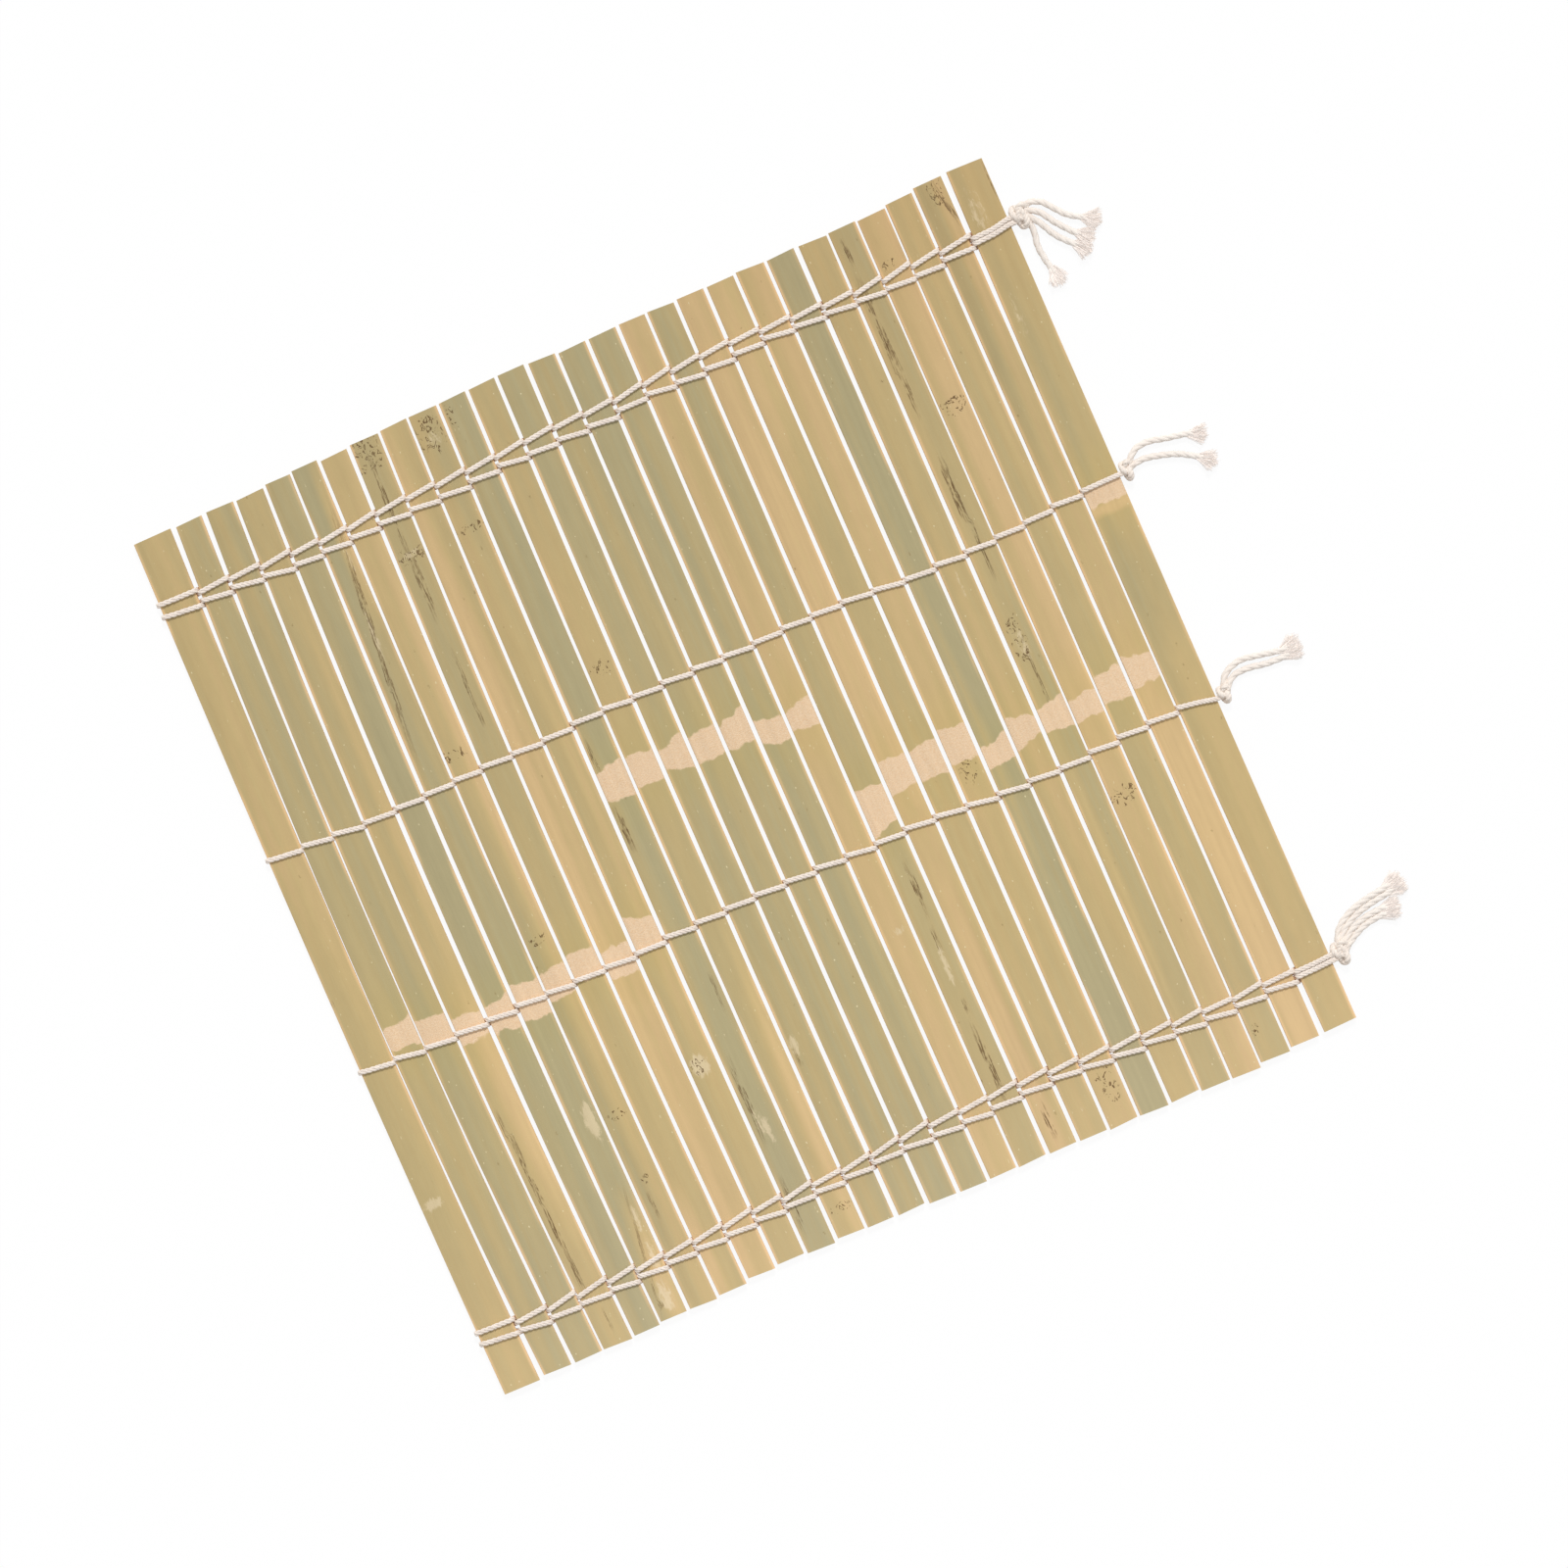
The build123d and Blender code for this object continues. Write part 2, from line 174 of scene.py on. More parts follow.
class Nodes:
    """One node tree, and the one method that adds nodes to it."""

    def __init__(self, tree: bpy.types.NodeTree) -> None:
        """Keep the tree."""
        self.tree = tree

    def add(self, kind: str, values: dict | None = None, output: str | int = 0, **settings: object) -> Sock:
        """Add a node.

        Args:
            kind: The node's type.
            values: Its sockets' values or links, by name or place.
            output: Which of its outputs is returned.
            settings: Its own settings, or a ramp's stops, set first.

        Returns:
            That output.
        """
        node = self.tree.nodes.new(kind)
        for name, value in settings.items():
            if name == "stops":
                ramp = node.color_ramp.elements
                while len(ramp) < len(value):
                    ramp.new(1.0)
                for stop, (place, colour) in zip(ramp, value):
                    stop.position, stop.color = place, colour
            else:
                setattr(node, name, value)
        for name, value in (values or {}).items():
            if isinstance(value, Sock):
                self.tree.links.new(value.out, node.inputs[name])
            else:
                node.inputs[name].default_value = value
        return Sock(self, node.outputs[output]) if len(node.outputs) else Sock(self, node.inputs[0])

    def mixed(self, share: Sock | float, first: Sock | tuple, second: Sock | tuple, way: str = "MIX") -> Sock:
        """Mix two colours by a share."""
        values = {0: share, 6: first, 7: second}
        return self.add("ShaderNodeMix", values, 2, data_type="RGBA", blend_type=way)

    def noise(self, place: Sock, shares: tuple[float, float, float] | float = 1.0, detail: float = 2.0,
              rough: float = 0.5, bend: float = 0.0) -> Sock:
        """A soft noise from 0 to 1 at a place.

        Args:
            place: The place.
            shares: How close its clouds lie, the same every way or across, along and up.
            detail, rough, bend: How fine, how sharp and how bent they are.

        Returns:
            The noise.
        """
        scale = shares if isinstance(shares, float) else 1.0
        spot = place if isinstance(shares, float) else self.stretched(place, shares)
        values = {"Vector": spot, "Scale": scale, "Detail": detail, "Roughness": rough, "Distortion": bend}
        return self.add("ShaderNodeTexNoise", values)

    def stretched(self, place: Sock, shares: tuple[float, float, float]) -> Sock:
        """A place with each of its axes scaled by its share."""
        return self.add("ShaderNodeVectorMath", {0: place, 1: shares}, operation="MULTIPLY")

    def surface(self, values: dict) -> None:
        """End a material with one plain surface."""
        surface = self.add("ShaderNodeBsdfPrincipled", values)
        self.add("ShaderNodeOutputMaterial", {"Surface": surface})

    def attribute(self, name: str) -> Sock:
        """A number that the piece's mesh carries."""
        return self.add("ShaderNodeAttribute", output="Fac", attribute_name=name)

    def parted(self, place: Sock, axis: str = "X") -> Sock:
        """One axis of a place; the others are outputs of the same node."""
        return self.add("ShaderNodeSeparateXYZ", {"Vector": place}, axis)

    def place(self, **axes: Sock | float) -> Sock:
        """A place put together from its axes."""
        return self.add("ShaderNodeCombineXYZ", axes)

    def here(self) -> Sock:
        """The place on the piece, in millimetres."""
        return self.add("ShaderNodeTexCoord", output="Object") * 1000.0

    def moved(self, mesh: Sock, **where: Sock) -> Sock:
        """Points at a new "Position", or moved by an "Offset"."""
        return self.add("GeometryNodeSetPosition", {"Geometry": mesh, **where})

    def kept(self, mesh: Sock, kind: str, name: str, value: Sock) -> Sock:
        """Points that carry one more value."""
        values = {"Geometry": mesh, "Name": name, "Value": value}
        return self.add("GeometryNodeStoreNamedAttribute", values, data_type=kind)

    def tubes(self, lines: Sock, section: Sock) -> Sock:
        """Lines made into closed solids by a section."""
        values = {"Curve": lines, "Profile Curve": section, "Fill Caps": True}
        return self.add("GeometryNodeCurveToMesh", values)

    def ring(self, sides: Sock | int, radius: Sock) -> Sock:
        """A round section."""
        return self.add("GeometryNodeCurvePrimitiveCircle", {"Resolution": sides, "Radius": radius})


def new_material(name: str) -> tuple[bpy.types.Material, Nodes]:
    """Start an empty material.

    Args:
        name: Its name.

    Returns:
        The material and its tree's book.
    """
    material = bpy.data.materials.new(name)
    material.use_nodes = True
    material.node_tree.nodes.clear()
    return material, Nodes(material.node_tree)


@dataclass(frozen=True)
class BambooFinish:
    """Green bamboo skin on top, pale split wood below and on the sides."""

    tan: tuple = looks_like(208, 178, 129)
    straw: tuple = looks_like(196, 172, 121)
    olive: tuple = looks_like(186, 167, 120)
    grey_green: tuple = looks_like(175, 163, 123)
    wood: tuple = looks_like(232, 198, 154)
    warm_edge: tuple = looks_like(238, 198, 146)
    shaved: tuple = looks_like(234, 206, 173)
    shaved_warm: tuple = looks_like(226, 189, 148)
    speck: tuple = looks_like(228, 214, 172)
    dot: tuple = looks_like(148, 126, 82)
    scar: tuple = looks_like(102, 73, 38)
    scuff: tuple = looks_like(222, 203, 166)
    # Specks, dots and nicks: how far off they are read, how close they lie, how rare and how strong
    flecks: tuple = (
        (0.0, (0.5, 0.3, 0.5), 0.55, 1.0, speck),
        (40.0, (0.3, 0.16, 0.3), 0.7, 0.7, dot),
        (90.0, (0.85, 0.17, 0.85), 0.6, 0.8, speck),
    )
    streak_lines: int = 5
    # How far apart the slats read their noise
    apart: float = 37.0

    def build(self) -> bpy.types.Material:
        """Make the material, which reads each slat's tone, band and scars from its mesh.

        Returns:
            The material.
        """
        material, book = new_material("bamboo")
        place = book.here()
        own = book.place(Z=book.attribute("seed") * self.apart) + place
        across = book.parted(place)
        along, height = across.of("Y"), across.of("Z")
        band = self._band(book, own)
        scars = self._scars(book, own)
        drift = book.noise(own, (0.2, 0.009, 1.0), 1.0)
        streak = book.noise(own, (0.7, 0.006, 1.0), 2.0, 0.6)
        grain = book.noise(own, (7.0, 0.12, 1.0), 2.0, 0.6)
        mottle = book.noise(own, (0.5, 0.14, 1.0), 3.0, 0.55)
        cross = book.noise(own, (2.2, 5.0, 1.0), 2.0, 0.6, 0.6)
        warm = book.attribute("warm")

        green = book.attribute("tone") + (drift - 0.5) + (streak - 0.5) * 0.5 - warm
        stops = [(0.0, self.tan), (0.36, self.straw), (0.68, self.olive), (1.0, self.grey_green)]
        skin = book.add("ShaderNodeValToRGB", {"Fac": green}, "Color", stops=stops)
        patchy = book.noise(own, (0.3, 0.04, 1.0), 1.0).fade(0.4, 0.68, 0.05, 0.85)
        skin = book.mixed(book.attribute("edge").fade(1.0, 0.1) * patchy, skin, self.warm_edge)
        for far, shares, rare, share, colour in self.flecks:
            skin = book.mixed(self._specks(book, own + far, shares, rare) * share, skin, colour)
        skin = book.mixed(self._scuffs(book, own), skin, self.scuff)
        skin = book.mixed(scars, skin, self.scar)
        shaved = book.mixed(cross.fade(0.38, 0.66, 0.0, 0.8), self.shaved, self.shaved_warm)
        skin = book.mixed(band, skin, shaved)
        fibre = book.noise(own, (2.4, 0.03, 2.4), 3.0, 0.6)
        wood = book.mixed(fibre.fade(0.3, 0.7, 0.0, 0.45), self.wood, self.warm_edge)
        top = height.fade(MIDDLE_HEIGHT + 0.3, MIDDLE_HEIGHT + 0.5)

        shade = 1.0 + (streak - 0.5) * 0.2 + (grain - 0.5) * 0.07 + (mottle - 0.5) * 0.1 + warm * 0.1
        # Painted light: a gradient along the slats, painted shade towards the top end and painted light
        # towards the bottom end
        shade = shade + along.fade(120.0, -100.0, -0.07, 0.035) + along.fade(-95.0, -122.0, 0.0, 0.07)
        # Less green and blue towards the mat's top right, and blue rising a little towards its bottom end
        toward_top_right = along.fade(60.0, 118.0) * across.fade(10.0, 100.0)
        near_band = book.attribute("band").fade(-16.0, -1.0) * (1.0 - band)
        blue = shade - toward_top_right * 0.06 - near_band * 0.06 + along.fade(-60.0, -116.0, -0.01, 0.05)
        tint = book.add("ShaderNodeCombineColor", {0: shade, 1: shade - toward_top_right * 0.035, 2: blue})
        colour = book.mixed(1.0, book.mixed(top, wood, skin), tint, "MULTIPLY")

        rise = grain * 0.02 + streak * 0.05 + cross * band * 0.2 - scars * 0.12 - band * 0.08
        bump = book.add("ShaderNodeBump", {"Strength": 0.55, "Distance": MM, "Height": rise})
        rough = 0.42 + (grain - 0.5) * 0.12 + band * 0.3 + (1.0 - top) * 0.25
        book.surface({"Base Color": colour, "Roughness": rough, "Normal": bump, "Specular IOR Level": 0.35})
        return material

    def _specks(self, book: Nodes, own: Sock, shares: tuple[float, float, float], rare: float) -> Sock:
        """Tiny specks and short nicks, a few on each slat.

        Args:
            book: The material's tree.
            own: The slat's own place.
            shares: How close they lie, across, along and up.
            rare: The share of cells that stay bare.

        Returns:
            How strong they are.
        """
        cells = {"Vector": book.stretched(own, shares), "Scale": 1.0, "Randomness": 1.0}
        near = book.add("ShaderNodeTexVoronoi", cells, "Distance", feature="F1")
        pick = book.add("ShaderNodeSeparateColor", {"Color": near.of("Color")}, "Red")
        fuzz = book.noise(own, 2.2, 3.0, 0.7)
        return (near + (fuzz - 0.5) * 0.3).fade(0.09, 0.02) * (pick > rare) * 0.85

    def _scuffs(self, book: Nodes, own: Sock) -> Sock:
        """Pale scuffed patches where the mesh says so."""
        ragged = book.noise(own, (1.3, 0.4, 1.0), 4.0, 0.7, 0.8)
        return (book.attribute("pale") * 0.6 + ragged).fade(0.8, 1.05) * 0.7

    def _scars(self, book: Nodes, own: Sock) -> Sock:
        """Dark squiggles, and streaks of fine broken lines, where the mesh says so."""
        curl = book.noise(own, (0.55, 0.4, 1.0), 2.0, 0.5, 1.6)
        worm = (curl * 10.0).sin().size().fade(0.5, 0.16)
        patch = book.noise(own, (0.6, 0.4, 1.0))
        marks = worm * (book.attribute("squiggle") * 0.9 + patch).fade(0.74, 0.92)
        beside, along = book.attribute("beside"), book.parted(own, "Y")
        rough = book.noise(own, (3.6, 0.5, 1.0), 3.0, 0.7)
        for line in range(self.streak_lines):
            spot = book.place(X=line * 7.3, Y=along * 0.07)
            path = (book.noise(spot, 1.0, 3.0) - 0.5) * 1.3 + (line - self.streak_lines // 2) * 0.3
            whole = book.noise(spot * 2.2, 1.0, 3.0, 0.6).fade(0.4, 0.58)
            dark = ((beside - path).size() + (rough - 0.5) * 0.7).fade(0.22, 0.04)
            marks = marks.over(dark * whole * book.attribute("streak"))
        return marks * 0.92

    def _band(self, book: Nodes, own: Sock) -> Sock:
        """1 inside the shaved node band, with a ragged edge."""
        ragged = book.noise(own, (0.34, 0.3, 1.0), 3.0)
        return (book.attribute("band") + (ragged - 0.5) * 3.4).fade(-0.3, 0.3)


@dataclass(frozen=True)
class CottonFinish:
    """Undyed twisted cotton, a little pink on the weave and creamy white at the loose ends."""

    woven: tuple = looks_like(246, 235, 224)
    shade: tuple = looks_like(217, 200, 188)
    loose: tuple = looks_like(245, 238, 231)
    loose_shade: tuple = looks_like(224, 206, 190)
    frayed: tuple = looks_like(248, 241, 236)
    # Painted warm shade for the string where it sinks between the slats
    sunk: tuple = looks_like(214, 160, 116)
    # How much the thin frayed fibres glow in their own colour, a painted glow for light let through them, and
    # how steeply the fibres wind round a ply, in radians to a millimetre
    fray_glow: float = 0.1
    fibre_lean: float = 1.1

    def build(self) -> bpy.types.Material:
        """Make the material, which reads how loose the cotton is from its mesh.

        Returns:
            The material.
        """
        material, book = new_material("cotton")
        along = book.attribute("along") * 1000.0
        turn = book.add("ShaderNodeAttribute", output="Vector", attribute_name="round")
        values = {"Vector": turn, "Angle": along * self.fibre_lean}
        turn = book.add("ShaderNodeVectorRotate", values, rotation_type="Z_AXIS")
        lie = book.place(Z=along * 0.35) + book.stretched(turn, (3.2, 3.2, 0.0))
        fibre = book.noise(lie, 1.0, 3.0, 0.65)
        cloud = book.noise(book.here(), 0.35)
        colour = book.mixed(cloud.fade(0.3, 0.75, 0.0, 0.3), self.woven, self.shade)
        colour = book.mixed(fibre.fade(0.42, 0.75, 0.0, 0.55), colour, self.shade)
        pale = book.mixed(fibre.fade(0.45, 0.8, 0.0, 0.6), self.loose, self.loose_shade)
        frayed = book.attribute("frayed")
        colour = book.mixed(book.attribute("loose"), colour, pale)
        colour = book.mixed(frayed, colour, self.frayed)
        # Painted shade: the string turns a warm dark brown where it sinks into the gaps between the slats
        colour = book.mixed(book.attribute("sunk") * 0.6, colour, self.sunk)
        bump = book.add("ShaderNodeBump", {"Strength": 0.6, "Distance": MM, "Height": fibre * 0.1})
        # Painted glow: the frayed fibres give off a little of their own colour, lightening the shade among
        # them
        glow = book.mixed(frayed * self.fray_glow, (0.0, 0.0, 0.0, 1.0), self.frayed)
        book.surface({"Base Color": colour, "Roughness": 0.95, "Normal": bump, "Specular IOR Level": 0.1,
                      "Sheen Weight": 0.15, "Emission Color": glow, "Emission Strength": 1.0})
        return material


class Input(Enum):
    """The kinds of named input that the growing trees have."""

    LENGTH = "NodeSocketFloat"
    COUNT = "NodeSocketInt"
    ARROW = "NodeSocketVector"
    FINISH = "NodeSocketMaterial"


def new_growth(name: str, inputs: dict[str, Input]) -> tuple[bpy.types.NodeTree, Nodes, Sock]:
    """Start a geometry tree.

    Args:
        name: The tree's name.
        inputs: Its named inputs after the geometry.

    Returns:
        The tree, its book and its group input.
    """
    tree = bpy.data.node_groups.new(name, "GeometryNodeTree")
    tree.interface.new_socket("Geometry", in_out="INPUT", socket_type="NodeSocketGeometry")
    for label, kind in inputs.items():
        tree.interface.new_socket(label, in_out="INPUT", socket_type=kind.value)
    tree.interface.new_socket("Geometry", in_out="OUTPUT", socket_type="NodeSocketGeometry")
    book = Nodes(tree)
    return tree, book, book.add("NodeGroupInput")


def finish_growth(book: Nodes, mesh: Sock, finish: Sock) -> None:
    """End a tree: smooth faces with sharp rims, real geometry, and its material."""
    sharp = book.add("GeometryNodeInputMeshEdgeAngle") > SHARP_FOLD
    values = {0: mesh, "Selection": sharp, "Shade Smooth": False}
    smooth = book.add("GeometryNodeSetShadeSmooth", values, domain="EDGE")
    real = book.add("GeometryNodeRealizeInstances", {0: smooth})
    dressed = book.add("GeometryNodeSetMaterial", {0: real, "Material": finish})
    book.add("NodeGroupOutput", {0: dressed})


def grow(name: str, routes: list[np.ndarray], tree: bpy.types.NodeTree, sizes: dict,
         numbers: dict | None = None, closed: bool = False) -> bpy.types.Object:
    """Run a tree on lines of points, in millimetres, and keep what it makes as a plain mesh.

    Args:
        name: The new piece's name.
        routes: The lines that the tree starts from.
        tree: The geometry tree.
        sizes: The tree's named inputs, by name.
        numbers: Numbers that every point of a line carries, by name, one for each line.
        closed: Whether each line is a loop.

    Returns:
        The piece, at the origin, with its place in its mesh.
    """
    points, edges, owners = [], [], []
    for owner, route in enumerate(routes):
        first = len(points)
        points += [tuple(float(part) * MM for part in point) for point in route]
        edges += [(first + step, first + step + 1) for step in range(len(route) - 1)]
        edges += [(len(points) - 1, first)] if closed else []
        owners += [owner] * len(route)
    lines = bpy.data.meshes.new(f"{name}_lines")
    lines.from_pydata(points, edges, [])
    for label, values in (numbers or {}).items():
        data = lines.attributes.new(label, "FLOAT", "POINT").data
        data.foreach_set("value", [values[owner] for owner in owners])
    source = bpy.data.objects.new(f"{name}_source", lines)
    bpy.context.scene.collection.objects.link(source)
    modifier = source.modifiers.new("growth", "NODES")
    modifier.node_group = tree
    for item in tree.interface.items_tree:
        if item.in_out == "INPUT" and item.name in sizes:
            modifier[item.identifier] = sizes[item.name]
    evaluated = source.evaluated_get(bpy.context.evaluated_depsgraph_get())
    mesh = bpy.data.meshes.new_from_object(evaluated)
    source.modifiers.remove(modifier)
    bpy.data.objects.remove(source)
    mesh.name = name
    piece = bpy.data.objects.new(name, mesh)
    bpy.context.scene.collection.objects.link(piece)
    return piece


def length(route: np.ndarray) -> float:
    """How long a line of points is."""
    return float(np.linalg.norm(np.diff(route, axis=0), axis=1).sum())


def carry(piece: bpy.types.Object, label: str, values: np.ndarray | float) -> None:
    """Give every point of a piece's mesh a number for its material to read.

    Args:
        piece: The piece.
        label: The number's name.
        values: One number a point, or one for all.
    """
    data = piece.data.attributes.new(label, "FLOAT", "POINT").data
    data.foreach_set("value", np.broadcast_to(np.asarray(values, np.float32), len(data)).copy())


def corners(piece: bpy.types.Object) -> np.ndarray:
    """A piece's points, in millimetres."""
    flat = np.zeros(len(piece.data.vertices) * 3)
    piece.data.vertices.foreach_get("co", flat)
    return flat.reshape(-1, 3) / MM


def settle(piece: bpy.types.Object, body: str, slot: str, *nodes: str) -> None:
    """Let a finished piece ride on its body and stand for its CAD nodes."""
    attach(piece, body)
    if nodes:
        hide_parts(*nodes)
    LOG.info("%s: %d points, rides on %s", piece.name, len(piece.data.vertices), body)


def body_of_slat(number: int) -> str:
    """The name of a slat's body."""
    return f"row_{number:02d}"


@dataclass(frozen=True)
class Gap:
    """One gap between two slats: the X of its middle and its width, at the top, middle and bottom."""

    middle: tuple[float, float, float]
    width: tuple[float, float, float]

    def side(self, y: np.ndarray | float, way: float) -> np.ndarray | float:
        """The X of one side of the gap at a Y.

        Args:
            y: Where along the slats.
            way: -1 for the left side, 0 for the middle, 1 for the right side.

        Returns:
            The X there.
        """
        high, middle, low = (at + way * wide / 2 for at, wide in zip(self.middle, self.width))
        share = y / STATION
        return middle + (high - low) / 2 * share + ((high + low) / 2 - middle) * share**2


class Mark(Enum):
    """What a mark on a slat looks like."""

    SQUIGGLE = "squiggle"
    STREAK = "streak"
    PALE = "pale"
    WARM = "warm"

    @property
    def breadth(self) -> float:
        """How far beside its line a mark is still felt, in half widths: a streak's lines wander off it."""
        return 2.0 if self is Mark.STREAK else 1.0


@dataclass(frozen=True)
class Spot:
    """Where a mark lies on its slat.

    Its place is across, as a share of half the slat's width, and along. Its sizes are half of its length and
    half of its width. With less than full strength it is faint, and a warm mark below nothing is a cool one.
    """

    slat: int
    across: float
    along: float
    long: float
    wide: float
    strength: float = 1.0
    lean: float = 0.0

    def away(self, x: np.ndarray, y: np.ndarray) -> tuple[np.ndarray, np.ndarray]:
        """How far each point of the slat lies beside the mark and ahead of its middle, in half sizes.

        Args:
            x, y: The points.

        Returns:
            Both numbers for each point.
        """
        near, far = sides_of_slat(self.slat, y)
        middle = (near + far) / 2 + self.across * (far - near) / 2 + self.lean * (y - self.along)
        return (x - middle) / self.wide, (y - self.along) / self.long


# The slats' rounded rims look bright in the photograph, so each gap between the rims is this much wider
RIM_LIGHT = 0.1
GAPS = tuple(Gap(middle, tuple(wide + RIM_LIGHT for wide in width)) for middle, width in (
    ((-108.4, -110.9, -109.0), (1.3, 0.15, 1.2)), ((-99.8, -102.5, -100.2), (1.2, 0.3, 0.95)),
    ((-91.2, -93.9, -91.8), (0.8, 0.7, 0.5)), ((-82.7, -85.0, -83.2), (0.8, 1.1, 0.8)),
    ((-75.0, -76.7, -75.4), (0.6, 1.0, 0.6)), ((-67.1, -68.3, -67.3), (0.8, 0.55, 0.9)),
    ((-58.8, -60.4, -59.0), (1.0, 0.8, 0.8)), ((-50.0, -51.8, -50.4), (0.7, 0.8, 0.9)),
    ((-41.8, -43.1, -42.0), (0.6, 0.9, 0.9)), ((-33.3, -34.5, -33.7), (0.7, 1.0, 0.9)),
    ((-24.9, -25.8, -25.1), (0.9, 0.7, 1.0)), ((-16.6, -17.4, -16.8), (0.9, 1.0, 0.8)),
    ((-8.2, -9.0, -8.5), (1.1, 0.9, 1.2)), ((0.2, -0.4, 0.1), (0.8, 0.9, 1.1)),
    ((8.7, 8.1, 8.6), (0.9, 1.0, 1.0)), ((17.3, 16.6, 17.0), (0.9, 0.8, 0.9)),
    ((25.4, 24.9, 25.2), (0.7, 0.8, 0.6)), ((33.6, 33.2, 33.7), (0.9, 0.9, 1.0)),
    ((42.0, 41.7, 42.2), (0.9, 1.0, 1.0)), ((50.4, 50.4, 50.6), (0.8, 1.0, 0.8)),
    ((59.0, 59.0, 59.1), (0.8, 1.0, 0.7)), ((67.7, 67.6, 67.8), (1.2, 0.8, 0.9)),
    ((76.4, 76.2, 76.3), (0.6, 1.0, 0.6)), ((84.6, 84.7, 84.8), (0.5, 0.4, 0.6)),
    ((92.9, 93.0, 93.2), (0.4, 0.5, 0.5)), ((101.0, 101.4, 101.8), (0.7, 0.8, 0.6)),
    ((110.0, 109.9, 110.7), (1.4, 0.5, 1.4)),
))
LEFT_SIDE = Gap((-119.3, -120.1, -119.3), (0.0, 0.0, 0.0))
RIGHT_SIDE = Gap((120.7, 120.5, 120.6), (0.0, 0.0, 0.0))


def gaps_beside(number: int) -> tuple[Gap, Gap]:
    """The gaps, or the mat's sides, at the left and the right of a slat."""
    left = GAPS[number - 2] if number > 1 else LEFT_SIDE
    right = GAPS[number - 1] if number < SLAT_COUNT else RIGHT_SIDE
    return left, right


def sides_of_slat(number: int, y: np.ndarray | float) -> tuple[np.ndarray | float, np.ndarray | float]:
    """The X of a slat's left and right sides at a Y."""
    left, right = gaps_beside(number)
    return left.side(y, 1), right.side(y, -1)


